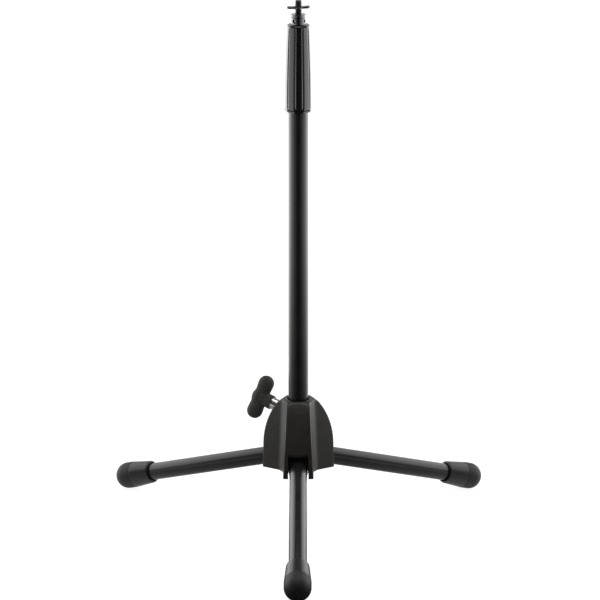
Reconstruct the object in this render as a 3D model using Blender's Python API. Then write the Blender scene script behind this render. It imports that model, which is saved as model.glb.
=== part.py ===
# Practice pad stand: a folding tripod with a telescopic mast and an M8 pad stud.
# Metres, +Z up. The origin is on the floor, at the centre of the footprint.

import math

import bmesh
import bpy
from mathutils import Matrix, Vector

# Gap between pieces that touch or slide on each other
RUN_GAP = 0.0003
# How far a cutter runs on past the surface that it opens
CUT_OVERRUN = 0.01

# Legs and feet
LEG_AZIMUTHS = {"front": -90.0, "right": 30.0, "left": 150.0}
LEG_ANGLE = 17.7
LEG_DIAMETER = 0.0213
LEG_WALL = 0.0012
LEG_PIVOT_RADIUS = 0.027
LEG_REACH = 0.2410
FOOT_BALL_RADIUS = 0.0168
FOOT_BALL_START = 0.0090
FOOT_SLEEVE_LENGTH = 0.0390
FOOT_MOUTH_LIP = 0.0009
FOOT_BORE_DEPTH = 0.0260
FOOT_FLAT_DEPTH = 0.0005
FOOT_EDGE = 0.0005

# Leg knuckles and pivot pins
KNUCKLE_WIDTH = 0.0236
KNUCKLE_EYE_RADIUS = 0.0100
KNUCKLE_NECK_LENGTH = 0.0080
KNUCKLE_DISC_THICKNESS = 0.0038
KNUCKLE_PLUG_LENGTH = 0.0240
PIN_RADIUS = 0.0030
PIN_SEAT_DEPTH = 0.0033
PIN_SNAP = 0.0006

# Hub housing
HUB_HEIGHT = 0.0940
HUB_PIVOT_HEIGHT = 0.0153
HUB_BELL_DEPTH = 0.0605
HUB_BELL_RADIUS = 0.0840
HUB_ARM_REACH = 0.0413
HUB_ARM_HALF_WIDTH = 0.0190
HUB_ARM_TAPER = 0.0048
HUB_WEB_DISTANCE = 0.0252
HUB_WEB_TAPER = 0.0049
HUB_EDGE_ROUND = 0.0016
HUB_FACE_CROWN = 0.0004
HUB_FOOT_CHAMFER = 0.0010
HUB_RIM_RADIUS = 0.0158
HUB_SHOULDER_WIDTH = 0.0126
HUB_SHOULDER_DROP = 0.0083
HUB_SHOULDER_POWER = 0.6
HUB_SHOULDER_BLEND = 0.0012
HUB_SLEEVE_WALL = 0.0025
HUB_SLEEVE_LIFT = 0.0090
HUB_MOUTH_WIDTH = 0.0274
HUB_MOUTH_HEIGHT = 0.0320
HUB_PAD_LIFT = 0.0055
HUB_MOUTH_RADIUS = 0.0340
HUB_CORE_RADIUS = 0.0028
HUB_CORE_DISTANCE = 0.0208
HUB_CORE_DEPTH = 0.0225

# Mast tubes
TUBE_DIAMETER = 0.025
TUBE_WALL = 0.0012
TUBE_LENGTH = 0.4860
TUBE_END_LIFT = 0.0055
TUBE_CAP_FLANGE = 0.0016
TUBE_CAP_PLUG = 0.0120
BUSH_WALL = 0.0009
BUSH_LENGTH = 0.0740
BUSH_RECESS = 0.0045
ROD_DIAMETER = 0.018
ROD_WALL = 0.0012
ROD_SHOW = 0.0093
ROD_DIMPLE_RADIUS = 0.0014
ROD_DIMPLE_DEPTH = 0.0008
ROD_DIMPLE_DROP = 0.0040
ROD_DIMPLE_TURN = 58.0
GUIDE_LENGTH = 0.0600
GUIDE_LIP = 0.0015

# Twist clutch
GRIP_LENGTH = 0.1080
GRIP_OVERLAP = 0.0240
GRIP_TOP_RADIUS = 0.0133
GRIP_BOTTOM_RADIUS = 0.0160
GRIP_RIM_HEIGHT = 0.0030
GRIP_RIM_STEP = 0.0003
GRIP_GROOVES = 10
GRIP_GROOVE_DEPTH = 0.0010
GRIP_GROOVE_WIDTH = 15.0
GRIP_TOP_ROUND = 0.0018
GRIP_TOP_LIP = 0.0020
GRIP_WALL = 0.0021
FERRULE_FLANGE = 0.0025
FERRULE_NECK_LENGTH = 0.0240
FERRULE_NECK_STEP = 0.0005
FERRULE_SPIGOT_LENGTH = 0.0250
COLLET_LENGTH = 0.0500
COLLET_SLIT = 0.0016
COLLET_SLIT_SHARE = 0.70
COLLET_SLITS = 3

# Pad stud and wing nut
PLUG_FLANGE = 0.0030
PLUG_DEPTH = 0.0140
STUD_DIAMETER = 0.0079
STUD_HEIGHT = 0.0175
STUD_CHAMFER = 0.0007
NUT_LIFT = 0.0064
NUT_HEIGHT = 0.0032
NUT_RADIUS = 0.0054
WING_SPAN = 0.0288
WING_DEPTH = 0.0072
WING_THICKNESS = 0.0019
WING_RISE = 3.0
WING_TURN = 10.0

# Clamp screw and knob; distances run outwards along the screw, from the mast's axis
CLAMP_AZIMUTH = 150.0
CLAMP_TILT = 16.5
CLAMP_DROP = 0.0247
SHOE_RADIUS = 0.0048
SHOE_LENGTH = 0.0045
SCREW_DIAMETER = 0.0079
SCREW_POINT = 0.0015
INSERT_RADIUS = 0.0062
INSERT_LENGTH = 0.0110
BOSS_RADIUS = 0.0085
BOSS_REACH = 0.0325
KNOB_STANDOFF = 0.0071
FERRULE_RING_RADIUS = 0.0073
FERRULE_RING_SHOW = 0.0046
FERRULE_RING_GRIP = 0.0060
FERRULE_RING_ROUND = 0.0012
COLLAR_RADIUS = 0.0084
COLLAR_LENGTH = 0.0090
KNOB_CENTRE = 0.0183
KNOB_LOBE_RADIUS = 0.0097
KNOB_LOBE_SPREAD = 0.0186
KNOB_WAIST_RADIUS = 0.0086
KNOB_DOME_RADIUS = 0.0116
KNOB_DOME_HEIGHT = 0.0110
KNOB_TURN = 18.0

# Facets round a full circle
SMOOTH_SEGMENTS = 32
PLAIN_SEGMENTS = 24
SMALL_SEGMENTS = 16

# Heights above the floor and radii that follow from the sizes above
tilt = math.radians(LEG_ANGLE)
pivotHeight = FOOT_BALL_RADIUS - FOOT_FLAT_DEPTH + LEG_REACH * math.sin(tilt)
hubBottom = pivotHeight - HUB_PIVOT_HEIGHT
hubTop = hubBottom + HUB_HEIGHT
bellStart = HUB_HEIGHT - HUB_BELL_DEPTH
tubeRadius = TUBE_DIAMETER / 2
tubeBore = tubeRadius - TUBE_WALL
tubeBottom = hubBottom + TUBE_END_LIFT
tubeTop = tubeBottom + TUBE_LENGTH
gripBottom = tubeTop - GRIP_OVERLAP
gripTop = gripBottom + GRIP_LENGTH
rodRadius = ROD_DIAMETER / 2
rodBore = rodRadius - ROD_WALL
rodTop = gripTop + ROD_SHOW
rodBottom = tubeBottom + TUBE_CAP_PLUG + GUIDE_LIP + 2 * RUN_GAP
plugTop = rodTop + RUN_GAP + PLUG_FLANGE
legRadius = LEG_DIAMETER / 2
legBore = legRadius - LEG_WALL
legStart = KNUCKLE_NECK_LENGTH + KNUCKLE_DISC_THICKNESS + RUN_GAP
footMouth = LEG_REACH - FOOT_SLEEVE_LENGTH
footBoreEnd = footMouth + FOOT_BORE_DEPTH
bushBore = tubeRadius + RUN_GAP
hubBore = bushBore + BUSH_WALL + RUN_GAP
sleeveRadius = hubBore + HUB_SLEEVE_WALL
bayHalfWidth = KNUCKLE_WIDTH / 2 + RUN_GAP
clampHeight = hubTop - CLAMP_DROP
shoeStart = (tubeRadius + RUN_GAP) / math.cos(math.radians(CLAMP_TILT)) - 0.5 * SHOE_RADIUS
screwStart = tubeRadius / math.cos(math.radians(CLAMP_TILT)) + SHOE_LENGTH + RUN_GAP
collarStart = BOSS_REACH + KNOB_STANDOFF
barCentre = collarStart + KNOB_CENTRE


def clearScene():
    for item in list(bpy.data.objects):
        bpy.data.objects.remove(item, do_unlink=True)


def makeMaterial(name, colour, roughness, metallic):
    material = bpy.data.materials.new(name)
    material.use_nodes = True
    shader = material.node_tree.nodes["Principled BSDF"]
    shader.inputs["Base Color"].default_value = (*colour, 1.0)
    shader.inputs["Roughness"].default_value = roughness
    shader.inputs["Metallic"].default_value = metallic
    material.diffuse_color = (*colour, 1.0)
    return material


def makeEmpty(name, parent=None, location=(0, 0, 0), rotation=(0, 0, 0)):
    empty = bpy.data.objects.new(name, None)
    bpy.context.scene.collection.objects.link(empty)
    empty.empty_display_size = 0.02
    empty.parent = parent
    empty.location = location
    empty.rotation_euler = rotation
    return empty


def makeObject(name, bm, material, parent=None, location=(0, 0, 0), rotation=(0, 0, 0)):
    bmesh.ops.recalc_face_normals(bm, faces=bm.faces)
    mesh = bpy.data.meshes.new(name)
    bm.to_mesh(mesh)
    bm.free()
    mesh.shade_smooth()
    mesh.set_sharp_from_angle(angle=math.radians(35))
    item = bpy.data.objects.new(name, mesh)
    bpy.context.scene.collection.objects.link(item)
    item.parent = parent
    item.location = location
    item.rotation_euler = rotation
    if material:
        mesh.materials.append(material)
    return item


def makeCutter(name, bm, parent=None, location=(0, 0, 0), rotation=(0, 0, 0)):
    cutter = makeObject(name, bm, None, parent, location, rotation)
    cutter.hide_render = True
    cutter.display_type = "WIRE"
    return cutter


def addBoolean(item, cutter, operation):
    modifier = item.modifiers.new(f"{operation.lower()}_{cutter.name}", "BOOLEAN")
    modifier.operation = operation
    modifier.solver = "EXACT"
    modifier.object = cutter
    return modifier


def revolve(profile, segments, closed=True):
    # Turns (radius, height) points about Z; a closed outline gives a ring, an open one runs pole to pole
    bm = bmesh.new()
    points = [bm.verts.new((radius, 0, height)) for radius, height in profile]
    edges = [bm.edges.new(pair) for pair in zip(points, points[1:])]
    if closed:
        edges.append(bm.edges.new((points[-1], points[0])))
    bmesh.ops.spin(
        bm,
        geom=points + edges,
        cent=(0, 0, 0),
        axis=(0, 0, 1),
        angle=math.tau,
        steps=segments,
        use_merge=True,
    )
    bmesh.ops.remove_doubles(bm, verts=bm.verts, dist=1e-6)
    return bm


def ring(inner, outer, bottom, top, segments, chamfer=0.0):
    return revolve(
        [
            (inner, bottom),
            (outer - chamfer, bottom),
            (outer, bottom + chamfer),
            (outer, top - chamfer),
            (outer - chamfer, top),
            (inner, top),
        ]
        if chamfer
        else [(inner, bottom), (outer, bottom), (outer, top), (inner, top)],
        segments,
    )


def rod(radius, bottom, top, segments, chamfer=0.0):
    profile = [(0, bottom), (radius - chamfer, bottom)]
    if chamfer:
        profile += [(radius, bottom + chamfer), (radius, top - chamfer)]
    else:
        profile += [(radius, bottom)]
    profile += [(radius - chamfer, top), (0, top)]
    if not chamfer:
        profile.pop(2)
    return revolve(profile, segments, closed=False)


def extrudeOutline(outline, halfWidth):
    # Extrudes an outline of (x, z) points along Y, by the half width each way
    bm = bmesh.new()
    points = [bm.verts.new((x, -halfWidth, z)) for x, z in outline]
    face = bm.faces.new(points)
    made = bmesh.ops.extrude_face_region(bm, geom=[face])
    moved = [part for part in made["geom"] if isinstance(part, bmesh.types.BMVert)]
    bmesh.ops.translate(bm, verts=moved, vec=(0, 2 * halfWidth, 0))
    return bm


def arc(centre, radius, start, end, count):
    # Points on an arc between two angles in degrees
    steps = [math.radians(start + (end - start) * i / (count - 1)) for i in range(count)]
    return [(centre[0] + radius * math.cos(a), centre[1] + radius * math.sin(a)) for a in steps]


def joined(pieces):
    # Puts several meshes, each with its own matrix, into one
    bm = bmesh.new()
    for piece, matrix in pieces:
        bmesh.ops.transform(piece, matrix=matrix, verts=piece.verts)
        mesh = bpy.data.meshes.new("piece")
        piece.to_mesh(mesh)
        piece.free()
        bm.from_mesh(mesh)
        bpy.data.meshes.remove(mesh)
    return bm


def armMatrix(azimuth):
    return Matrix.Rotation(math.radians(azimuth), 4, "Z")


def roundArms(build):
    # One copy of a shape, made in the X-Z plane of an arm, for each leg
    return joined([(build(), armMatrix(azimuth)) for azimuth in LEG_AZIMUTHS.values()])


def loft(sections):
    # Skins closed sections of (x, y, z) points, bottom to top, and caps both ends
    bm = bmesh.new()
    rows = [[bm.verts.new(point) for point in section] for section in sections]
    count = len(rows[0])
    for low, high in zip(rows, rows[1:]):
        for i in range(count):
            j = (i + 1) % count
            bm.faces.new((low[i], low[j], high[j], high[i]))
    bm.faces.new(rows[0][::-1])
    bm.faces.new(rows[-1])
    return bm


# Hub housing: three straight-sided arms under a bell curve, joined by flat webs


def bellReach(height):
    # Straight up to the start of the bell, then an arc inwards
    rise = max(0.0, height - bellStart)
    return HUB_ARM_REACH - HUB_BELL_RADIUS + math.sqrt(HUB_BELL_RADIUS**2 - rise**2)


def shoulderRadius(height):
    # A power curve that rounds the bell into its top rim
    drop = HUB_HEIGHT - height
    if drop > HUB_SHOULDER_DROP:
        return HUB_ARM_REACH + HUB_ARM_HALF_WIDTH
    return HUB_RIM_RADIUS + HUB_SHOULDER_WIDTH * (drop / HUB_SHOULDER_DROP) ** HUB_SHOULDER_POWER


def blendedMin(first, second, width):
    # The smaller of two values, rounded off where they are closer than the width
    share = min(1.0, max(0.0, 0.5 + 0.5 * (second - first) / width))
    return second * (1 - share) + first * share - width * share * (1 - share)


def hubSection(height):
    share = height / HUB_HEIGHT
    inset = max(0.0, HUB_FOOT_CHAMFER - height)
    half = HUB_ARM_HALF_WIDTH - HUB_ARM_TAPER * share - inset
    web = HUB_WEB_DISTANCE - HUB_WEB_TAPER * share - inset
    reach = bellReach(height) - inset
    root = (web - half * math.sin(math.radians(60))) / math.cos(math.radians(60))
    root = min(root, reach - 2 * HUB_EDGE_ROUND)
    side = reach - HUB_EDGE_ROUND
    corner = arc((side, half - HUB_EDGE_ROUND), HUB_EDGE_ROUND, 0, 90, 4)
    upper = [(reach + HUB_FACE_CROWN, 0), (reach + HUB_FACE_CROWN * 0.7, half * 0.5)]
    upper += corner
    upper += [(root + (side - root) * part, half) for part in (0.66, 0.33, 0.0)]
    lower = [(x, -y) for x, y in upper[:0:-1]]
    webMiddle = (web * math.cos(math.radians(60)), web * math.sin(math.radians(60)))
    quarter = ((root + webMiddle[0]) / 2, (half + webMiddle[1]) / 2)
    outline = lower + upper + [quarter, webMiddle]
    mirrored = (quarter[0], -quarter[1])
    outline = [mirrored] + outline
    limit = shoulderRadius(height)
    points = []
    for azimuth in LEG_AZIMUTHS.values():
        turn = armMatrix(azimuth)
        for x, y in outline:
            point = Vector((x, y, 0))
            point *= blendedMin(point.length, limit, HUB_SHOULDER_BLEND) / point.length
            points.append(turn @ point + Vector((0, 0, hubBottom + height)))
    return points


def hubShell():
    bellTop = HUB_HEIGHT - HUB_SHOULDER_DROP
    heights = [0.0, HUB_FOOT_CHAMFER, bellStart]
    steps = 7
    heights += [bellStart + (bellTop - bellStart) * (i + 1) / steps for i in range(steps)]
    steps = 4
    heights += [HUB_HEIGHT - HUB_SHOULDER_DROP * (1 - (i + 1) / steps) ** 2 for i in range(steps)]
    return loft([hubSection(height) for height in heights])


def legBay():
    # The room of one knuckle; its sloped ceiling is the stop of the spread leg
    slope = math.tan(tilt)
    ceiling = pivotHeight + (KNUCKLE_EYE_RADIUS + RUN_GAP) / math.cos(tilt)
    inner = hubBore - HUB_SLEEVE_WALL
    outer = HUB_MOUTH_RADIUS + 0.001
    low = hubBottom - CUT_OVERRUN
    return extrudeOutline(
        [
            (inner, low),
            (outer, low),
            (outer, ceiling - (outer - LEG_PIVOT_RADIUS) * slope),
            (inner, ceiling - (inner - LEG_PIVOT_RADIUS) * slope),
        ],
        bayHalfWidth,
    )


def bayMouth():
    # The wider opening in front of and below the bearing pads
    low = hubBottom - CUT_OVERRUN
    pad = hubBottom + HUB_PAD_LIFT
    high = hubBottom + HUB_MOUTH_HEIGHT
    inner = hubBore - HUB_SLEEVE_WALL / 2
    near = HUB_MOUTH_RADIUS
    far = HUB_ARM_REACH + CUT_OVERRUN
    outline = [(inner, low), (far, low), (far, high), (near, high), (near, pad), (inner, pad)]
    return extrudeOutline(outline, HUB_MOUTH_WIDTH / 2)


def pinSeat():
    # A keyhole, open below and narrowed so that the pin snaps past it
    radius = PIN_RADIUS + RUN_GAP
    half = radius - PIN_SNAP
    drop = math.degrees(math.asin(half / radius))
    low = hubBottom - CUT_OVERRUN
    outline = arc((LEG_PIVOT_RADIUS, pivotHeight), radius, -90 + drop, 270 - drop, 19)
    outline += [(LEG_PIVOT_RADIUS - half, low), (LEG_PIVOT_RADIUS + half, low)]
    return extrudeOutline(outline, bayHalfWidth + PIN_SEAT_DEPTH + RUN_GAP)


def webCore():
    # A round core hole under each web keeps the moulding's walls even
    bottom = hubBottom - CUT_OVERRUN
    bm = rod(HUB_CORE_RADIUS, bottom, hubBottom + HUB_CORE_DEPTH, SMALL_SEGMENTS)
    bmesh.ops.translate(bm, verts=bm.verts, vec=(HUB_CORE_DISTANCE, 0, 0))
    bmesh.ops.rotate(bm, verts=bm.verts, matrix=Matrix.Rotation(math.radians(60), 3, "Z"))
    return bm


def makeHub(root, clamp, material):
    hub = makeObject("hub_housing", hubShell(), material, root)
    cuts = [("leg_bays", legBay), ("bay_mouths", bayMouth), ("pin_seats", pinSeat), ("web_cores", webCore)]
    for name, build in cuts:
        addBoolean(hub, makeCutter(name, roundArms(build), root), "DIFFERENCE")
    sleeveBottom = hubBottom + HUB_SLEEVE_LIFT
    sleeve = rod(sleeveRadius, sleeveBottom, hubTop - BUSH_RECESS, SMOOTH_SEGMENTS)
    addBoolean(hub, makeCutter("sleeve_wall", sleeve, root), "UNION")
    boss = rod(BOSS_RADIUS, hubBore, BOSS_REACH, PLAIN_SEGMENTS, 0.0008)
    addBoolean(hub, makeCutter("screw_boss", boss, clamp), "UNION")
    bore = rod(hubBore, hubBottom - CUT_OVERRUN, hubTop + CUT_OVERRUN, SMOOTH_SEGMENTS)
    addBoolean(hub, makeCutter("mast_bore", bore, root), "DIFFERENCE")
    pocketStart = BOSS_REACH - INSERT_LENGTH - RUN_GAP
    pocket = rod(INSERT_RADIUS + RUN_GAP, pocketStart, BOSS_REACH + CUT_OVERRUN, PLAIN_SEGMENTS)
    addBoolean(hub, makeCutter("insert_pocket", pocket, clamp), "DIFFERENCE")
    shoeHole = rod(SHOE_RADIUS + RUN_GAP, 0.002, BOSS_REACH - INSERT_LENGTH, PLAIN_SEGMENTS)
    addBoolean(hub, makeCutter("shoe_hole", shoeHole, clamp), "DIFFERENCE")
    return hub


def makeBush(root, clamp, material):
    top = hubTop - BUSH_RECESS
    bm = ring(bushBore, bushBore + BUSH_WALL, top - BUSH_LENGTH, top, SMOOTH_SEGMENTS)
    bush = makeObject("tube_bush", bm, material, root)
    hole = rod(SHOE_RADIUS + RUN_GAP, 0.002, BOSS_REACH, PLAIN_SEGMENTS)
    addBoolean(bush, makeCutter("bush_hole", hole, clamp), "DIFFERENCE")
    return bush


# Legs: knuckle, tube and rubber foot, made along X from the pivot


def alongLeg(bm):
    bmesh.ops.rotate(bm, verts=bm.verts, matrix=Matrix.Rotation(math.pi / 2, 3, "Y"))
    return bm


def acrossLeg(bm):
    bmesh.ops.rotate(bm, verts=bm.verts, matrix=Matrix.Rotation(math.pi / 2, 3, "X"))
    return bm


def knuckleCore():
    # The eye round the pin and the neck in front of it, one outline across the bay
    eye = arc((0, 0), KNUCKLE_EYE_RADIUS, 90, 270, 17)
    neckEnd = KNUCKLE_NECK_LENGTH + 0.5 * KNUCKLE_DISC_THICKNESS
    outline = eye + [(neckEnd, -KNUCKLE_EYE_RADIUS), (neckEnd, KNUCKLE_EYE_RADIUS)]
    return extrudeOutline(outline, KNUCKLE_WIDTH / 2)


def makeKnuckle(name, hinge, material):
    knuckle = makeObject(name, knuckleCore(), material, hinge)
    plugStart = KNUCKLE_NECK_LENGTH + KNUCKLE_DISC_THICKNESS
    plugRadius = legBore - RUN_GAP
    edge = 0.0006
    profile = [
        (0, KNUCKLE_NECK_LENGTH),
        (KNUCKLE_WIDTH / 2 - edge, KNUCKLE_NECK_LENGTH),
        (KNUCKLE_WIDTH / 2, KNUCKLE_NECK_LENGTH + edge),
        (KNUCKLE_WIDTH / 2, plugStart - edge),
        (KNUCKLE_WIDTH / 2 - edge, plugStart),
        (plugRadius, plugStart),
        (plugRadius, plugStart + KNUCKLE_PLUG_LENGTH - 2 * edge),
        (plugRadius - 2 * edge, plugStart + KNUCKLE_PLUG_LENGTH),
        (0, plugStart + KNUCKLE_PLUG_LENGTH),
    ]
    plug = alongLeg(revolve(profile, PLAIN_SEGMENTS, closed=False))
    addBoolean(knuckle, makeCutter(f"{name}_plug", plug, hinge), "UNION")
    bore = acrossLeg(rod(PIN_RADIUS + RUN_GAP, -KNUCKLE_WIDTH, KNUCKLE_WIDTH, SMALL_SEGMENTS))
    addBoolean(knuckle, makeCutter(f"{name}_bore", bore, hinge), "DIFFERENCE")
    return knuckle


def legTubeMesh():
    return alongLeg(ring(legBore, legRadius, legStart, footBoreEnd - RUN_GAP, SMOOTH_SEGMENTS))


def footMesh():
    # A tapered sleeve, a short straight band and a round nose
    bore = legRadius + RUN_GAP
    mouth = bore + FOOT_MOUTH_LIP
    profile = [(0, footBoreEnd), (bore, footBoreEnd), (bore, footMouth)]
    profile += [(mouth - FOOT_EDGE, footMouth), (mouth, footMouth + FOOT_EDGE)]
    profile += [(FOOT_BALL_RADIUS, LEG_REACH - FOOT_BALL_START)]
    steps = 7
    for i in range(steps):
        angle = math.radians(90 * i / steps)
        profile.append((FOOT_BALL_RADIUS * math.cos(angle), LEG_REACH + FOOT_BALL_RADIUS * math.sin(angle)))
    profile.append((0, LEG_REACH + FOOT_BALL_RADIUS))
    bm = alongLeg(revolve(profile, SMOOTH_SEGMENTS, closed=False))
    down = Vector((math.sin(tilt), 0, -math.cos(tilt)))
    sole = Vector((LEG_REACH, 0, 0)) + down * (FOOT_BALL_RADIUS - FOOT_FLAT_DEPTH)
    geometry = bm.verts[:] + bm.edges[:] + bm.faces[:]
    cut = bmesh.ops.bisect_plane(
        bm, geom=geometry, plane_co=sole, plane_no=down, clear_outer=True
    )
    rim = [part for part in cut["geom_cut"] if isinstance(part, bmesh.types.BMEdge)]
    bmesh.ops.edgeloop_fill(bm, edges=rim)
    return bm


def makeLeg(side, azimuth, root, materials):
    heading = math.radians(azimuth)
    pivot = (
        LEG_PIVOT_RADIUS * math.cos(heading),
        LEG_PIVOT_RADIUS * math.sin(heading),
        pivotHeight,
    )
    hinge = makeEmpty(f"hinge_{side}", root, pivot, (0, tilt, heading))
    makeKnuckle(f"leg_knuckle_{side}", hinge, materials["knuckle_plastic"])
    makeObject(f"leg_tube_{side}", legTubeMesh(), materials["black_powder_coat"], hinge)
    makeObject(f"rubber_foot_{side}", footMesh(), materials["foot_rubber"], hinge)
    half = bayHalfWidth + PIN_SEAT_DEPTH
    pin = acrossLeg(rod(PIN_RADIUS, -half, half, SMALL_SEGMENTS, 0.0004))
    makeObject(f"pivot_pin_{side}", pin, materials["zinc_steel"], root, pivot, (0, 0, heading))


# Mast: tube, its cap, and the chrome rod with its guide


def makeTube(root, materials):
    tube = ring(tubeBore, tubeRadius, tubeBottom, tubeTop, SMOOTH_SEGMENTS)
    makeObject("outer_tube", tube, materials["black_powder_coat"], root)
    plug = tubeBore - RUN_GAP
    wall = 0.0018
    flangeTop = tubeBottom - RUN_GAP
    cap = revolve(
        [
            (0, flangeTop - TUBE_CAP_FLANGE),
            (tubeRadius - 0.0006, flangeTop - TUBE_CAP_FLANGE),
            (tubeRadius, flangeTop - TUBE_CAP_FLANGE + 0.0006),
            (tubeRadius, flangeTop),
            (plug, flangeTop),
            (plug, tubeBottom + TUBE_CAP_PLUG),
            (plug - wall, tubeBottom + TUBE_CAP_PLUG),
            (plug - wall, flangeTop),
            (0, flangeTop),
        ],
        PLAIN_SEGMENTS,
        closed=False,
    )
    makeObject("tube_end_cap", cap, materials["cap_plastic"], root)


def makeRod(root, materials):
    chrome = makeObject(
        "inner_rod",
        ring(rodBore, rodRadius, rodBottom, rodTop, SMOOTH_SEGMENTS),
        materials["chrome_plate"],
        root,
    )
    dimples = []
    for quarter in range(4):
        bm = bmesh.new()
        bmesh.ops.create_icosphere(bm, subdivisions=2, radius=ROD_DIMPLE_RADIUS)
        place = Matrix.Rotation(math.radians(ROD_DIMPLE_TURN + 90 * quarter), 4, "Z")
        out = rodRadius + ROD_DIMPLE_RADIUS - ROD_DIMPLE_DEPTH
        place = place @ Matrix.Translation((out, 0, rodTop - ROD_DIMPLE_DROP))
        dimples.append((bm, place))
    addBoolean(chrome, makeCutter("crimp_dimples", joined(dimples), root), "DIFFERENCE")
    outer = tubeBore - RUN_GAP
    inner = rodRadius + RUN_GAP
    bottom = rodBottom - RUN_GAP - GUIDE_LIP
    guide = revolve(
        [
            (rodBore, bottom),
            (outer - 0.0008, bottom),
            (outer, bottom + 0.0008),
            (outer, bottom + GUIDE_LENGTH),
            (inner, bottom + GUIDE_LENGTH),
            (inner, bottom + GUIDE_LIP),
            (rodBore, bottom + GUIDE_LIP),
        ],
        PLAIN_SEGMENTS,
    )
    makeObject("rod_guide", guide, materials["guide_nylon"], root)


# Twist clutch: ferrule in the tube, split collet on the rod, ribbed grip over both


def gripRadius(height):
    # Widens quickly below the top, then eases into the bottom radius
    share = 1 - height / GRIP_LENGTH
    return GRIP_TOP_RADIUS + (GRIP_BOTTOM_RADIUS - GRIP_TOP_RADIUS) * math.sin(share * math.pi / 2)


def grooveDepth(angle, height):
    # Narrow grooves between broad round ribs; they run out above the rim
    pitch = 360.0 / GRIP_GROOVES
    offset = abs((math.degrees(angle) + pitch / 2) % pitch - pitch / 2)
    run = min(1.0, max(0.0, (height - GRIP_RIM_HEIGHT) / GRIP_RIM_HEIGHT))
    valley = math.exp(-((offset / (GRIP_GROOVE_WIDTH / 2)) ** 2) * 2)
    return GRIP_GROOVE_DEPTH * valley * run


def gripShell():
    perGroove = 5
    count = perGroove * GRIP_GROOVES
    rimTop = GRIP_RIM_HEIGHT
    rows = [(0.0, -0.0004), (0.0006, GRIP_RIM_STEP), (rimTop - 0.0004, GRIP_RIM_STEP), (rimTop, 0.0)]
    straight = GRIP_LENGTH - GRIP_TOP_ROUND
    steps = 7
    rows += [(rimTop + (straight - rimTop) * (i + 1) / steps, 0.0) for i in range(steps)]
    for degrees in (30, 60, 90):
        angle = math.radians(degrees)
        rows.append((straight + GRIP_TOP_ROUND * math.sin(angle), GRIP_TOP_ROUND * (math.cos(angle) - 1)))
    sections = []
    for height, step in rows:
        section = []
        for i in range(count):
            angle = math.tau * i / count
            radius = gripRadius(height) + step - grooveDepth(angle, height)
            section.append((radius * math.cos(angle), radius * math.sin(angle), gripBottom + height))
        sections.append(section)
    return loft(sections)


def gripCore():
    # The hollow: straight over the tube and neck, then a cone over the collet, then the rod hole
    neckTop = tubeTop + RUN_GAP + FERRULE_FLANGE + FERRULE_NECK_LENGTH
    coneTop = gripTop - GRIP_TOP_LIP
    straight = tubeRadius + RUN_GAP
    narrow = GRIP_TOP_RADIUS - GRIP_WALL
    rodHole = rodRadius + RUN_GAP
    profile = [
        (0, gripBottom - CUT_OVERRUN),
        (straight, gripBottom - CUT_OVERRUN),
        (straight, neckTop + RUN_GAP),
        (narrow, coneTop),
        (rodHole, coneTop),
        (rodHole, gripTop + CUT_OVERRUN),
        (0, gripTop + CUT_OVERRUN),
    ]
    return revolve(profile, SMOOTH_SEGMENTS, closed=False)


def makeCollet(root, material):
    # A cone split by narrow slits from the top; its fingers close on the rod
    neckTop = tubeTop + RUN_GAP + FERRULE_FLANGE + FERRULE_NECK_LENGTH
    bottom = neckTop + 2 * RUN_GAP
    coneTop = gripTop - GRIP_TOP_LIP
    straight = tubeRadius + RUN_GAP
    narrow = GRIP_TOP_RADIUS - GRIP_WALL
    slope = (straight - narrow) / (coneTop - neckTop - RUN_GAP)
    top = min(bottom + COLLET_LENGTH, coneTop - RUN_GAP)
    outerLow = straight - (bottom - neckTop - RUN_GAP) * slope - 1.5 * RUN_GAP
    outerHigh = straight - (top - neckTop - RUN_GAP) * slope - 1.5 * RUN_GAP
    inner = rodRadius + RUN_GAP
    cone = revolve([(inner, bottom), (outerLow, bottom), (outerHigh, top), (inner, top)], PLAIN_SEGMENTS)
    collet = makeObject("clutch_collet", cone, material, root)
    slits = []
    low = top - (top - bottom) * COLLET_SLIT_SHARE
    high = top + CUT_OVERRUN
    near = rodRadius / 2
    far = straight + CUT_OVERRUN
    for i in range(COLLET_SLITS):
        box = extrudeOutline([(near, low), (far, low), (far, high), (near, high)], COLLET_SLIT / 2)
        slits.append((box, Matrix.Rotation(math.tau * i / COLLET_SLITS, 4, "Z")))
    addBoolean(collet, makeCutter("collet_slits", joined(slits), root), "DIFFERENCE")


def makeClutch(root, materials):
    spigot = tubeBore - RUN_GAP
    inner = rodRadius + RUN_GAP
    flangeBottom = tubeTop + RUN_GAP
    flangeTop = flangeBottom + FERRULE_FLANGE
    neck = tubeRadius - FERRULE_NECK_STEP
    ferrule = revolve(
        [
            (inner, tubeTop - FERRULE_SPIGOT_LENGTH),
            (spigot, tubeTop - FERRULE_SPIGOT_LENGTH),
            (spigot, flangeBottom),
            (tubeRadius, flangeBottom),
            (tubeRadius, flangeTop),
            (neck, flangeTop),
            (neck, flangeTop + FERRULE_NECK_LENGTH),
            (inner, flangeTop + FERRULE_NECK_LENGTH),
        ],
        PLAIN_SEGMENTS,
    )
    makeObject("clutch_ferrule", ferrule, materials["zinc_steel"], root)
    makeCollet(root, materials["guide_nylon"])
    grip = makeObject("grip_sleeve", gripShell(), materials["grip_plastic"], root)
    addBoolean(grip, makeCutter("grip_core", gripCore(), root), "DIFFERENCE")


# Top fitting: plug crimped in the rod, black M8 stud, thin two-wing nut


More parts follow.
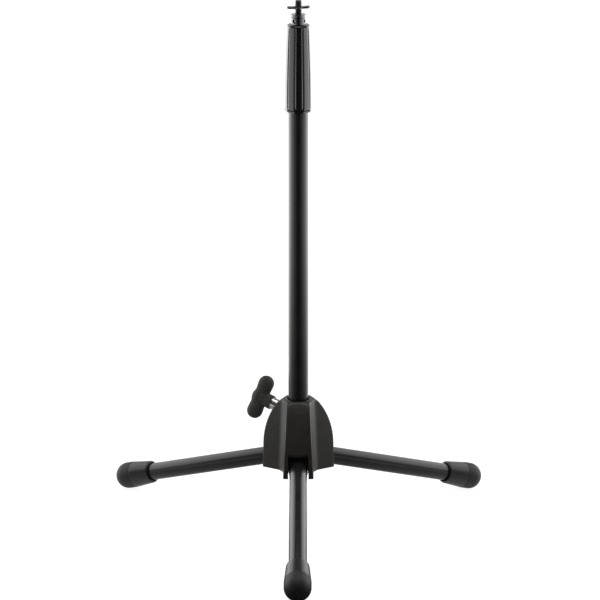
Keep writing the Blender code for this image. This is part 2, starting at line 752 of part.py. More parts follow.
def makeStud(root, materials):
    studRadius = STUD_DIAMETER / 2
    hole = studRadius + RUN_GAP
    plugRadius = rodBore - RUN_GAP
    edge = 0.0004
    flangeBottom = rodTop + RUN_GAP
    stop = rodTop - PLUG_DEPTH
    holeEnd = stop + 0.002
    plug = revolve(
        [
            (0, stop),
            (plugRadius, stop),
            (plugRadius, rodTop - ROD_DIMPLE_DROP - ROD_DIMPLE_RADIUS),
            (plugRadius - 2 * ROD_DIMPLE_DEPTH, rodTop - ROD_DIMPLE_DROP),
            (plugRadius, rodTop - ROD_DIMPLE_DROP + ROD_DIMPLE_RADIUS),
            (plugRadius, flangeBottom),
            (rodRadius, flangeBottom),
            (rodRadius, plugTop - edge),
            (rodRadius - edge, plugTop),
            (hole, plugTop),
            (hole, holeEnd),
            (0, holeEnd),
        ],
        SMOOTH_SEGMENTS,
        closed=False,
    )
    makeObject("rod_end_plug", plug, materials["chrome_plate"], root)
    stud = rod(studRadius, holeEnd + RUN_GAP, plugTop + STUD_HEIGHT, PLAIN_SEGMENTS, STUD_CHAMFER)
    makeObject("pad_stud", stud, materials["black_steel"], root)


def wingMesh(direction):
    # One wing: a flat tab with a round end, raised a little towards its tip
    reach = WING_SPAN / 2
    end = WING_DEPTH / 2
    tip = arc((reach - end, 0), end, -75, 75, 9)
    outline = [(0.0, -end * 0.8)] + tip + [(0.0, end * 0.8)]
    bm = bmesh.new()
    points = [bm.verts.new((x, y, 0)) for x, y in outline]
    face = bm.faces.new(points)
    made = bmesh.ops.extrude_face_region(bm, geom=[face])
    moved = [part for part in made["geom"] if isinstance(part, bmesh.types.BMVert)]
    bmesh.ops.translate(bm, verts=moved, vec=(0, 0, WING_THICKNESS))
    rise = Matrix.Rotation(-math.radians(WING_RISE), 4, "Y")
    turn = Matrix.Rotation(direction, 4, "Z")
    bmesh.ops.transform(bm, matrix=turn @ rise, verts=bm.verts)
    return bm


def makeWingNut(root, material):
    bottom = plugTop + NUT_LIFT
    hub = rod(NUT_RADIUS, 0, NUT_HEIGHT, SMALL_SEGMENTS, 0.0004)
    place = (0, 0, bottom)
    turn = (0, 0, math.radians(WING_TURN))
    nut = makeObject("wing_nut", hub, material, root, place, turn)
    lift = (NUT_HEIGHT - WING_THICKNESS) / 2
    for side, direction in (("left", math.pi), ("right", 0.0)):
        wing = wingMesh(direction)
        bmesh.ops.translate(wing, verts=wing.verts, vec=(0, 0, lift))
        addBoolean(nut, makeCutter(f"wing_{side}", wing, root, place, turn), "UNION")
    bore = rod(STUD_DIAMETER / 2 + RUN_GAP, -CUT_OVERRUN, NUT_HEIGHT + CUT_OVERRUN, SMALL_SEGMENTS)
    addBoolean(nut, makeCutter("nut_bore", bore, root, place, turn), "DIFFERENCE")


# Clamp: shoe, screw, threaded insert, ferrule ring and two-lobe knob, made along Z of the screw


def makeClampScrew(root, clamp, materials):
    shoe = rod(SHOE_RADIUS, shoeStart, screwStart - RUN_GAP, PLAIN_SEGMENTS)
    shoe = makeObject("clamp_shoe", shoe, materials["guide_nylon"], clamp)
    tubeRoom = rod(tubeRadius + RUN_GAP, hubBottom, hubTop, SMOOTH_SEGMENTS)
    addBoolean(shoe, makeCutter("shoe_face", tubeRoom, root), "DIFFERENCE")
    radius = SCREW_DIAMETER / 2
    end = collarStart + FERRULE_RING_GRIP
    screw = revolve(
        [
            (0, screwStart),
            (radius - SCREW_POINT / 2, screwStart),
            (radius, screwStart + SCREW_POINT),
            (radius, end),
            (0, end),
        ],
        SMALL_SEGMENTS,
        closed=False,
    )
    makeObject("clamp_screw", screw, materials["zinc_steel"], clamp)
    insert = ring(radius + RUN_GAP, INSERT_RADIUS, BOSS_REACH - INSERT_LENGTH, BOSS_REACH, PLAIN_SEGMENTS)
    makeObject("clamp_insert", insert, materials["brass"], clamp)
    start = collarStart - FERRULE_RING_SHOW
    curve = arc(
        (FERRULE_RING_RADIUS - FERRULE_RING_ROUND, start + FERRULE_RING_ROUND),
        FERRULE_RING_ROUND,
        -90,
        0,
        4,
    )
    profile = [(radius + RUN_GAP, start)] + curve
    profile += [(FERRULE_RING_RADIUS, end), (radius + RUN_GAP, end)]
    makeObject("knob_ferrule", revolve(profile, PLAIN_SEGMENTS), materials["nickel_plate"], clamp)


def knobBar():
    # Two round lobes with a slimmer waist, turned about the bar's own length
    profile = []
    steps = 6
    pastEquator = 5
    for i in range(steps + 1):
        angle = math.radians(-90 + (90 + pastEquator) * i / steps)
        along = -KNOB_LOBE_SPREAD + KNOB_LOBE_RADIUS * math.sin(angle)
        profile.append((KNOB_LOBE_RADIUS * math.cos(angle), along))
    profile[0] = (0, profile[0][1])
    profile += [(KNOB_WAIST_RADIUS, 0)] + [(radius, -along) for radius, along in reversed(profile)]
    return revolve(profile, PLAIN_SEGMENTS, closed=False)


def knobBoss():
    # Collar, then a dome that stands out of the bar's far side
    collarEnd = collarStart + COLLAR_LENGTH
    edge = 0.0006
    profile = [(0, collarStart), (COLLAR_RADIUS - edge, collarStart), (COLLAR_RADIUS, collarStart + edge)]
    profile += [(COLLAR_RADIUS, collarEnd), (KNOB_DOME_RADIUS * 0.96, barCentre - 0.003)]
    steps = 7
    for i in range(steps + 1):
        angle = math.radians(90 * i / steps)
        profile.append((KNOB_DOME_RADIUS * math.cos(angle), barCentre + KNOB_DOME_HEIGHT * math.sin(angle)))
    profile[-1] = (0, profile[-1][1])
    return revolve(profile, PLAIN_SEGMENTS, closed=False)


def makeKnob(clamp, material):
    knob = makeObject("clamp_knob", knobBoss(), material, clamp)
    turn = (0, math.pi / 2, math.radians(KNOB_TURN))
    bar = makeCutter("knob_bar", knobBar(), clamp, (0, 0, barCentre), turn)
    addBoolean(knob, bar, "UNION")
    pocketEnd = collarStart + FERRULE_RING_GRIP + RUN_GAP
    pocket = rod(FERRULE_RING_RADIUS + RUN_GAP, collarStart - CUT_OVERRUN, pocketEnd, PLAIN_SEGMENTS)
    addBoolean(knob, makeCutter("ferrule_pocket", pocket, clamp), "DIFFERENCE")


def makeMaterials():
    return {
        "hub_plastic": makeMaterial("hub_plastic", (0.030, 0.029, 0.028), 0.42, 0.0),
        "knuckle_plastic": makeMaterial("knuckle_plastic", (0.012, 0.012, 0.012), 0.45, 0.0),
        "black_powder_coat": makeMaterial("black_powder_coat", (0.022, 0.022, 0.023), 0.38, 0.0),
        "foot_rubber": makeMaterial("foot_rubber", (0.030, 0.030, 0.030), 0.62, 0.0),
        "cap_plastic": makeMaterial("cap_plastic", (0.02, 0.02, 0.02), 0.5, 0.0),
        "chrome_plate": makeMaterial("chrome_plate", (0.14, 0.14, 0.145), 0.12, 1.0),
        "guide_nylon": makeMaterial("guide_nylon", (0.55, 0.54, 0.50), 0.5, 0.0),
        "grip_plastic": makeMaterial("grip_plastic", (0.018, 0.018, 0.019), 0.30, 0.0),
        "zinc_steel": makeMaterial("zinc_steel", (0.56, 0.57, 0.58), 0.30, 1.0),
        "black_steel": makeMaterial("black_steel", (0.020, 0.020, 0.022), 0.40, 0.6),
        "nickel_plate": makeMaterial("nickel_plate", (0.70, 0.68, 0.66), 0.20, 1.0),
        "brass": makeMaterial("brass", (0.62, 0.46, 0.20), 0.30, 1.0),
        "knob_plastic": makeMaterial("knob_plastic", (0.014, 0.014, 0.014), 0.28, 0.0),
    }


def footprintMiddle():
    # The mast stands off the middle of the footprint, because one leg points forwards
    bpy.context.view_layer.update()
    graph = bpy.context.evaluated_depsgraph_get()
    depths = []
    for side in LEG_AZIMUTHS:
        foot = bpy.data.objects[f"rubber_foot_{side}"].evaluated_get(graph)
        depths += [(foot.matrix_world @ vertex.co).y for vertex in foot.data.vertices]
    return (min(depths) + max(depths)) / 2


def main():
    clearScene()
    materials = makeMaterials()
    root = makeEmpty("mast_axis")
    clamp = makeEmpty(
        "clamp_axis",
        root,
        (0, 0, clampHeight),
        (0, math.radians(90 - CLAMP_TILT), math.radians(CLAMP_AZIMUTH)),
    )
    makeHub(root, clamp, materials["hub_plastic"])
    makeBush(root, clamp, materials["guide_nylon"])
    for side, azimuth in LEG_AZIMUTHS.items():
        makeLeg(side, azimuth, root, materials)
    makeTube(root, materials)
    makeRod(root, materials)
    makeClutch(root, materials)
    makeStud(root, materials)
    makeWingNut(root, materials["black_steel"])
    makeClampScrew(root, clamp, materials)
    makeKnob(clamp, materials["knob_plastic"])
    root.location.y = -footprintMiddle()
    bpy.context.view_layer.update()


main()
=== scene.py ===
# Looks of the practice pad stand: fine surfaces over the CAD frame, procedural finishes, a small studio.
# Metres, +Z up; every new piece is built in the frame's own place.

import math

import bpy
import numpy as np
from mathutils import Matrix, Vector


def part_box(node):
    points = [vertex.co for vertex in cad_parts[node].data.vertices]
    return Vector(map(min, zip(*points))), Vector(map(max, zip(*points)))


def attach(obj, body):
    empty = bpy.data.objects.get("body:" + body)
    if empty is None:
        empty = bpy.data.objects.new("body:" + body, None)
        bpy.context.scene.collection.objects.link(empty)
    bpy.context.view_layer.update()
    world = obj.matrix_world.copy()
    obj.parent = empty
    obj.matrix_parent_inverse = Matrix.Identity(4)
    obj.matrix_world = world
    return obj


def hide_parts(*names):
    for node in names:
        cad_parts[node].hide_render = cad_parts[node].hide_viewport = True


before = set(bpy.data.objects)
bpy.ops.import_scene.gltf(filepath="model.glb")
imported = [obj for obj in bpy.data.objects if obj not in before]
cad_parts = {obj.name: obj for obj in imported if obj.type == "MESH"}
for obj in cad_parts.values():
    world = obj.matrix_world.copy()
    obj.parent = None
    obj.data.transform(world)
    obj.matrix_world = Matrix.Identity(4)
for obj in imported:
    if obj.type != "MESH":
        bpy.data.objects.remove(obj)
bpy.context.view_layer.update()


def middle(node):
    low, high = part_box(node)
    return (low + high) / 2


# Places and heights measured on the frame
mastX, mastY = middle("outer_tube")[:2]
hubBottom, hubTop = (corner.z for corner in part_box("hub_housing"))
tubeBottom, tubeTop = (corner.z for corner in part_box("outer_tube"))
gripBottom, gripTop = (corner.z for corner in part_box("grip_sleeve"))
rodBottom, rodTop = (corner.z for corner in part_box("inner_rod"))
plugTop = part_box("rod_end_plug")[1].z
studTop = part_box("pad_stud")[1].z
pivotHeight = middle("pivot_pin_front").z
runGap = 0.0003

print("frame measured")


# Arrays to meshes


def gridFaces(grid, wrap=False):
    # Rows of points, each row closed; a row drawn together into one point makes a pole
    rows, columns = grid.shape[:2]
    index = np.arange(rows * columns).reshape(rows, columns)
    tight = np.ptp(grid, axis=1).max(axis=1) < 1e-9
    index[tight] = index[tight][:, :1]
    low = index if wrap else index[:-1]
    high = np.roll(index, -1, axis=0) if wrap else index[1:]
    quads = np.stack([low, np.roll(low, -1, 1), np.roll(high, -1, 1), high], axis=-1).reshape(-1, 4)
    lowPole = quads[:, 0] == quads[:, 1]
    highPole = quads[:, 2] == quads[:, 3]
    full = quads[~(lowPole | highPole)]
    corners = np.concatenate([quads[lowPole][:, [0, 2, 3]], quads[highPole][:, [0, 1, 2]]])
    points = grid.reshape(-1, 3)
    # Turn the faces outwards: the volume they close has to be positive
    triangles = np.concatenate([full[:, [0, 1, 2]], full[:, [0, 2, 3]], corners])
    a, b, c = (points[triangles[:, i]] - points.mean(axis=0) for i in range(3))
    if np.einsum("ij,ij->", np.cross(a, b), c) < 0:
        full, corners = full[:, ::-1], corners[:, ::-1]
    return full, corners


def meshObject(name, grids, wraps, ownPlaces=None):
    # One object from closed grids; "local" keeps each point's place along and round its own axis
    points, full, corners, own = [], [], [], []
    start = 0
    for i, grid in enumerate(grids):
        quads, triangles = gridFaces(grid, wraps[i])
        points.append(grid.reshape(-1, 3))
        own.append((ownPlaces[i] if ownPlaces else grid).reshape(-1, 3))
        full.append(quads + start)
        corners.append(triangles + start)
        start += grid.shape[0] * grid.shape[1]
    points, own = np.concatenate(points), np.concatenate(own)
    full, corners = np.concatenate(full), np.concatenate(corners)
    used = np.unique(np.concatenate([full.ravel(), corners.ravel()]))
    renumber = np.zeros(len(points), int)
    renumber[used] = np.arange(len(used))
    mesh = bpy.data.meshes.new(name)
    mesh.from_pydata(points[used].tolist(), [], renumber[full].tolist() + renumber[corners].tolist())
    attribute = mesh.attributes.new("local", "FLOAT_VECTOR", "POINT")
    attribute.data.foreach_set("vector", own[used].astype(np.float32).ravel())
    mesh.shade_smooth()
    mesh.set_sharp_from_angle(angle=math.radians(40))
    item = bpy.data.objects.new(name, mesh)
    bpy.context.scene.collection.objects.link(item)
    return item


def roundedProfile(corners, steps=6):
    # Each corner is (radius, height, rounding); a quadratic curve takes the corner off
    points = np.array([corner[:2] for corner in corners], float)
    cuts = np.array([corner[2] for corner in corners], float)
    before = points - np.roll(points, 1, axis=0)
    after = np.roll(points, -1, axis=0) - points
    before /= np.maximum(np.linalg.norm(before, axis=1, keepdims=True), 1e-12)
    after /= np.maximum(np.linalg.norm(after, axis=1, keepdims=True), 1e-12)
    share = np.linspace(0, 1, steps)[None, :, None]
    start = (points - before * cuts[:, None])[:, None, :]
    end = (points + after * cuts[:, None])[:, None, :]
    curve = (1 - share) ** 2 * start + 2 * share * (1 - share) * points[:, None, :] + share**2 * end
    return np.concatenate([curve[i] if cuts[i] > 0 else points[i : i + 1] for i in range(len(points))])


def polar(radius, height, columns):
    # Radii and heights, one per row or one per point, set round Z
    angles = np.arange(columns) * math.tau / columns
    radius, height = np.broadcast_arrays(radius, height)
    if radius.ndim == 1:
        radius, height = radius[:, None], height[:, None]
    return np.stack([radius * np.cos(angles), radius * np.sin(angles), height + 0 * angles], axis=-1)


def turned(profile, columns):
    return polar(profile[:, 0], profile[:, 1], columns)


def placed(grid, origin, axis=(0, 0, 1), side=(1, 0, 0)):
    # Local Z runs along the axis, local X along the side direction
    axis, side = np.array(axis, float), np.array(side, float)
    third = np.cross(axis, side)
    return np.array(origin) + grid[..., :1] * side + grid[..., 1:2] * third + grid[..., 2:] * axis


def smoothMin(a, b, width):
    share = np.clip(0.5 + 0.5 * (b - a) / width, 0, 1)
    return b * (1 - share) + a * share - width * share * (1 - share)


def smoothStep(value, start, end):
    share = np.clip((value - start) / (end - start), 0, 1)
    return share * share * (3 - 2 * share)


def dress(item, body, node, slot, finish=None):
    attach(item, body)
    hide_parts(node)
    item.data.materials.append(finishes[finish or slot])


def cut(item, cutter, operation="DIFFERENCE"):
    modifier = item.modifiers.new(cutter.name, "BOOLEAN")
    modifier.operation = operation
    modifier.solver = "EXACT"
    modifier.object = cutter
    cutter.hide_render = True
    cutter.display_type = "WIRE"


# Finishes: shader maths written as plain expressions


def isVector(value):
    return isinstance(value, tuple) or (isinstance(value, Signal) and value.socket.type == "VECTOR")


class Signal:
    # Wraps an output socket; the operators add the node that does the sum
    def __init__(self, tree, socket):
        self.tree = tree
        self.socket = socket

    def node(self, kind, settings=None, sockets=None, output=0):
        made = self.tree.nodes.new(kind)
        for name, value in (settings or {}).items():
            setattr(made, name, value)
        for name, value in (sockets or {}).items():
            if isinstance(value, Signal):
                self.tree.links.new(value.socket, made.inputs[name])
            else:
                made.inputs[name].default_value = value
        return Signal(self.tree, made.outputs[output])

    def maths(self, operation, first, second):
        if isVector(first) and isVector(second):
            return self.node("ShaderNodeVectorMath", {"operation": operation}, {0: first, 1: second})
        if isVector(first):
            return self.node("ShaderNodeVectorMath", {"operation": "SCALE"}, {0: first, "Scale": second})
        return self.node("ShaderNodeMath", {"operation": operation}, {0: first, 1: second})

    def __add__(self, other):
        return self.maths("ADD", self, other)

    def __radd__(self, other):
        return self.maths("ADD", other, self)

    def __sub__(self, other):
        return self.maths("SUBTRACT", self, other)

    def __rsub__(self, other):
        return self.maths("SUBTRACT", other, self)

    def __mul__(self, other):
        return self.maths("MULTIPLY", self, other)

    def __truediv__(self, other):
        return self.maths("DIVIDE", self, other)

    def __pow__(self, other):
        return self.maths("POWER", self, other)

    def noise(self, scale, detail=3.0, roughness=0.5):
        sockets = {"Vector": self, "Scale": scale, "Detail": detail, "Roughness": roughness}
        return self.node("ShaderNodeTexNoise", {}, sockets)

    def range(self, start, end, low=0.0, high=1.0, shape="SMOOTHSTEP"):
        return self.node(
            "ShaderNodeMapRange",
            {"interpolation_type": shape},
            {"Value": self, "From Min": start, "From Max": end, "To Min": low, "To Max": high},
        )

    def blend(self, first, second):
        # A colour from first to second as this signal goes from 0 to 1
        ends = [colour if isinstance(colour, Signal) else (*colour, 1.0) for colour in (first, second)]
        return self.node("ShaderNodeMix", {"data_type": "RGBA"}, {"Factor": self, 6: ends[0], 7: ends[1]}, 2)

    def bump(self, strength, distance):
        return self.node("ShaderNodeBump", {}, {"Height": self, "Strength": strength, "Distance": distance})

    def to(self, socket):
        self.tree.links.new(self.socket, socket)


def startMaterial(name, source="Object"):
    # The place signal is the object's own coordinates, or the stored local ones
    material = bpy.data.materials.new(name)
    material.use_nodes = True
    tree = material.node_tree
    shader = tree.nodes["Principled BSDF"]
    if source == "Object":
        place = Signal(tree, tree.nodes.new("ShaderNodeTexCoord").outputs["Object"])
    else:
        stored = tree.nodes.new("ShaderNodeAttribute")
        stored.attribute_name = source
        place = Signal(tree, stored.outputs["Vector"])
    return material, shader, place


def paint(name, look, source="Object"):
    # A solid finish: two tones in clouds, a fine grain in the surface, hairline marks along local Z;
    # a zone, where there is one, gives it other tones and more roughness past a place along local Z
    material, shader, place = startMaterial(name, source)
    clouds = place.noise(look["cloudScale"], 4.0, 0.6)
    grain = place.noise(look["grainScale"], 2.0)
    hairs = (place * (1.0, 1.0, look["hairStretch"])).noise(look["hairScale"], 3.0, 0.6)
    marks = hairs.range(0.60, 0.74)
    tone = clouds.range(0.35, 0.65).blend(look["dark"], look["light"])
    rough = look["roughness"] + (clouds - 0.5) * look["roughnessSpread"] + marks * look["markRoughness"]
    if "zone" in look:
        zone = look["zone"]
        beyond = place.node("ShaderNodeSeparateXYZ", {}, {0: place}, 2).range(zone["start"], zone["end"])
        tone = beyond.blend(tone, clouds.range(0.35, 0.65).blend(zone["dark"], zone["light"]))
        rough = rough + beyond * zone["roughness"]
    tone.to(shader.inputs["Base Color"])
    rough.to(shader.inputs["Roughness"])
    height = grain * look["grainHeight"] - marks * look["markDepth"]
    height.bump(1.0, 0.001).to(shader.inputs["Normal"])
    shader.inputs["Metallic"].default_value = look.get("metallic", 0.0)
    shader.inputs["Specular IOR Level"].default_value = look.get("specular", 0.5)
    material.diffuse_color = (*look["light"], 1.0)
    return material


finishes = {}

# What each finish is made of; heights and depths are in millimetres, and it is no metal unless it says so
finishLooks = {
    "black_powder_coat": {
        "source": "local", "dark": (0.0086, 0.0077, 0.0080), "light": (0.0116, 0.0105, 0.0108),
        "roughness": 0.30, "roughnessSpread": 0.10, "markRoughness": -0.04,
        "cloudScale": 60.0, "grainScale": 1500.0, "grainHeight": 0.010, "markDepth": 0.002,
        "hairStretch": 0.03, "hairScale": 700.0,
    },
    "hub_plastic": {
        "dark": (0.0245, 0.0226, 0.0206), "light": (0.0315, 0.0294, 0.0270),
        "roughness": 0.40, "roughnessSpread": 0.10, "markRoughness": 0.03,
        "cloudScale": 90.0, "grainScale": 2600.0, "grainHeight": 0.012, "markDepth": 0.002,
        "hairStretch": 0.5, "hairScale": 500.0,
    },
    "knuckle_plastic": {
        "dark": (0.0045, 0.0045, 0.0045), "light": (0.0065, 0.0065, 0.0065),
        "roughness": 0.45, "roughnessSpread": 0.12, "markRoughness": 0.05,
        "cloudScale": 150.0, "grainScale": 2400.0, "grainHeight": 0.014, "markDepth": 0.004,
        "hairStretch": 0.2, "hairScale": 900.0,
    },
    "foot_rubber": {
        "source": "local", "dark": (0.0120, 0.0120, 0.0120), "light": (0.0165, 0.0165, 0.0163),
        "zone": {
            "start": 0.2296, "end": 0.2304, "roughness": 0.26,
            "dark": (0.0080, 0.0080, 0.0078), "light": (0.0110, 0.0110, 0.0105),
        },
        "roughness": 0.36, "roughnessSpread": 0.12, "markRoughness": 0.10,
        "cloudScale": 130.0, "grainScale": 1800.0, "grainHeight": 0.030, "markDepth": 0.006,
        "hairStretch": 0.3, "hairScale": 900.0,
    },
    "cap_plastic": {
        "dark": (0.0100, 0.0100, 0.0100), "light": (0.0150, 0.0150, 0.0150),
        "roughness": 0.50, "roughnessSpread": 0.10, "markRoughness": 0.05,
        "cloudScale": 160.0, "grainScale": 2400.0, "grainHeight": 0.015, "markDepth": 0.004,
        "hairStretch": 0.4, "hairScale": 900.0,
    },
    "chrome_plate": {
        "source": "local", "dark": (0.088, 0.088, 0.092), "light": (0.116, 0.116, 0.121),
        "roughness": 0.14, "roughnessSpread": 0.06, "markRoughness": 0.10, "metallic": 1.0,
        "cloudScale": 120.0, "grainScale": 2400.0, "grainHeight": 0.001, "markDepth": 0.001,
        "hairStretch": 0.02, "hairScale": 1600.0,
    },
    "guide_nylon": {
        "dark": (0.44, 0.43, 0.39), "light": (0.56, 0.55, 0.51),
        "roughness": 0.48, "roughnessSpread": 0.12, "markRoughness": 0.08,
        "cloudScale": 140.0, "grainScale": 2000.0, "grainHeight": 0.010, "markDepth": 0.006,
        "hairStretch": 0.1, "hairScale": 900.0,
    },
    "grip_plastic": {
        "source": "local", "dark": (0.0074, 0.0068, 0.0070), "light": (0.0100, 0.0094, 0.0096),
        "roughness": 0.20, "roughnessSpread": 0.10, "markRoughness": 0.08, "specular": 0.62,
        "cloudScale": 110.0, "grainScale": 2000.0, "grainHeight": 0.006, "markDepth": 0.002,
        "hairStretch": 0.2, "hairScale": 900.0,
    },
    "zinc_steel": {
        "dark": (0.40, 0.41, 0.42), "light": (0.54, 0.55, 0.56),
        "roughness": 0.26, "roughnessSpread": 0.16, "markRoughness": 0.12, "metallic": 1.0,
        "cloudScale": 260.0, "grainScale": 3200.0, "grainHeight": 0.004, "markDepth": 0.004,
        "hairStretch": 0.3, "hairScale": 1800.0,
    },
    "black_steel": {
        "dark": (0.0080, 0.0080, 0.0085), "light": (0.0150, 0.0150, 0.0155),
        "roughness": 0.34, "roughnessSpread": 0.16, "markRoughness": 0.10,
        "cloudScale": 420.0, "grainScale": 4200.0, "grainHeight": 0.008, "markDepth": 0.004,
        "hairStretch": 0.5, "hairScale": 2200.0,
    },
    "dull_nut_steel": {
        "dark": (0.080, 0.080, 0.082), "light": (0.125, 0.125, 0.128),
        "roughness": 0.34, "roughnessSpread": 0.14, "markRoughness": 0.10, "metallic": 1.0,
        "cloudScale": 420.0, "grainScale": 4200.0, "grainHeight": 0.004, "markDepth": 0.003,
        "hairStretch": 0.5, "hairScale": 2200.0,
    },
    "nickel_plate": {
        "dark": (0.52, 0.49, 0.47), "light": (0.66, 0.63, 0.61),
        "roughness": 0.36, "roughnessSpread": 0.12, "markRoughness": 0.10, "metallic": 1.0,
        "cloudScale": 420.0, "grainScale": 3600.0, "grainHeight": 0.003, "markDepth": 0.003,
        "hairStretch": 0.6, "hairScale": 2400.0,
    },
    "brass": {
        "dark": (0.42, 0.30, 0.12), "light": (0.58, 0.43, 0.19),
        "roughness": 0.32, "roughnessSpread": 0.14, "markRoughness": 0.10, "metallic": 1.0,
        "cloudScale": 420.0, "grainScale": 3200.0, "grainHeight": 0.005, "markDepth": 0.004,
        "hairStretch": 0.4, "hairScale": 1800.0,
    },
    "knob_plastic": {
        "dark": (0.0420, 0.0425, 0.0390), "light": (0.0540, 0.0545, 0.0500), "specular": 0.12,
        "roughness": 0.62, "roughnessSpread": 0.10, "markRoughness": 0.06,
        "cloudScale": 160.0, "grainScale": 2200.0, "grainHeight": 0.010, "markDepth": 0.003,
        "hairStretch": 0.5, "hairScale": 900.0,
    },
}
for name, look in finishLooks.items():
    finishes[name] = paint(name, look, look.get("source", "Object"))

print("finishes made:", len(finishes))


# Mast: main tube, chromed rod with four crimp marks, its plug and the threaded stud

mastPlace = (mastX, mastY, 0.0)
tubeShape = {"radius": 0.0127, "wall": 0.0014, "edge": 0.0003, "columns": 128}
rodShape = {
    "radius": 0.0092, "wall": 0.0016, "edge": 0.0003, "columns": 224,
    "markRadius": 0.0021, "markDepth": 0.0013, "markDrop": 0.0040, "markTurn": 55.0, "markRim": 0.00010,
    "fineBand": 0.0080, "rimFade": 0.002,
}
plugShape = {
    "radius": 0.0092, "stem": 0.0074, "hole": 0.00445, "edge": 0.0003, "length": 0.0140, "floor": 0.002,
    "grooveDrops": (0.0054, 0.0040, 0.0026), "grooveDepth": 0.0016, "columns": 96,
}


def hollowTube(shape, start, end):
    # The wall's section, a rectangle with rounded corners, turned round Z
    outer, inner, edge = shape["radius"], shape["radius"] - shape["wall"], shape["edge"]
    corners = [(inner, start, edge), (outer, start, edge), (outer, end, edge), (inner, end, edge)]
    return turned(roundedProfile(corners), shape["columns"])


def makeTube():
    # A plain hollow tube round the mast's axis
    grid = hollowTube(tubeShape, tubeBottom, tubeTop)
    item = meshObject("main_tube", [placed(grid, mastPlace)], [True], [grid])
    dress(item, "mast", "outer_tube", "black_powder_coat")


def makeRod():
    # A hollow tube whose radius loses four round cups near the top and gains a low bell-shaped rim round each
    shape = rodShape
    radius, inner, edge = shape["radius"], shape["radius"] - shape["wall"], shape["edge"]
    columns, mark = shape["columns"], shape["markRadius"]
    fine = np.linspace(rodTop - shape["fineBand"], rodTop - edge, 44)
    outside = np.concatenate([[rodBottom + edge], fine])
    angles = np.arange(columns) * math.tau / columns
    quarter = math.tau / 4
    turn = (angles - math.radians(shape["markTurn"]) + quarter / 2) % quarter - quarter / 2
    away = np.hypot(turn[None, :] * radius, outside[:, None] - (rodTop - shape["markDrop"]))
    cup = (1 - smoothStep(away, 0.35 * mark, 1.05 * mark)) * shape["markDepth"]
    rim = np.exp(-(((away - 1.35 * mark) / (0.25 * mark)) ** 2)) * shape["markRim"]
    rim *= np.clip((rodTop - outside[:, None]) / shape["rimFade"], 0, 1)
    wall = polar(radius - cup + rim, outside[:, None] + 0 * angles, columns)
    lip = turned(np.array([[radius - 0.3 * edge, rodTop - 0.3 * edge], [radius - edge, rodTop]]), columns)
    bore = turned(np.array([[inner, rodTop], [inner, rodBottom], [radius - edge, rodBottom]]), columns)
    grid = np.concatenate([wall, lip, bore])
    item = meshObject("chromed_rod", [placed(grid, mastPlace)], [True], [grid])
    dress(item, "rod", "inner_rod", "chrome_plate")


def makePlug():
    # A turned section: a stem with one V groove, a flange over the rod's end and a blind hole for the stud
    shape = plugShape
    stem, hole, edge = shape["stem"], shape["hole"], shape["edge"]
    flange = rodTop + runGap
    stop = rodTop - shape["length"]
    grooveStart, grooveMiddle, grooveEnd = (rodTop - drop for drop in shape["grooveDrops"])
    corners = [
        (0, stop, 0),
        (stem, stop, edge),
        (stem, grooveStart, 0),
        (stem - shape["grooveDepth"], grooveMiddle, 0),
        (stem, grooveEnd, 0),
        (stem, flange, 0),
        (shape["radius"], flange, 0.0001),
        (shape["radius"], plugTop, edge),
        (hole, plugTop, edge),
        (hole, stop + shape["floor"], 0),
        (0, stop + shape["floor"], 0),
    ]
    grid = turned(roundedProfile(corners), shape["columns"])
    item = meshObject("rod_plug", [placed(grid, mastPlace)], [False], [grid])
    dress(item, "rod", "rod_end_plug", "chrome_plate")


def threadGrid(shape, start, end, columns=64, rowsPerPitch=16):
    # The radius less a rounded valley that climbs one pitch per turn, cut back by a cone at both ends
    steepness = 2.3
    count = int((end - start) / shape["pitch"] * rowsPerPitch)
    heights = np.linspace(start, end, count)[:, None]
    angles = (np.arange(columns) * math.tau / columns)[None, :]
    phase = (heights / shape["pitch"] - angles / math.tau) % 1.0
    valley = np.clip(steepness * (0.5 - np.abs(phase - 0.5)), 0, 1)
    body = shape["radius"] - shape["depth"] * valley * valley * (3 - 2 * valley)
    limit = shape["radius"] - shape["chamfer"] + np.minimum(heights - start, end - heights)
    grid = polar(np.minimum(body, limit), heights + 0 * angles, columns)
    poles = polar(np.array([0.0, 0.0]), np.array([start, end]), columns)
    return np.concatenate([poles[:1], grid, poles[1:]])


studShape = {"radius": 0.00415, "pitch": 0.00125, "depth": 0.00068, "chamfer": 0.0010, "below": 0.0117}


def makeStud():
    # A threaded bar from inside the plug to the top of the stand
    grid = threadGrid(studShape, rodTop - studShape["below"], studTop)
    item = meshObject("stud_thread", [placed(grid, mastPlace)], [False], [grid])
    dress(item, "rod", "pad_stud", "black_steel")


nutShape = {
    "bodyRadius": 0.0054, "height": 0.0032, "hole": 0.00445, "span": 0.0288, "wingDepth": 0.0072,
    "wingThickness": 0.0024, "rise": 3.0, "turn": 10.0, "edge": 0.0005, "blend": 0.0012,
    "root": 0.8, "tipSide": 0.966, "tipAlong": 0.26, "stepIn": 0.0004, "stepOut": 0.0010,
    "crowding": 0.38, "columns": 288,
}


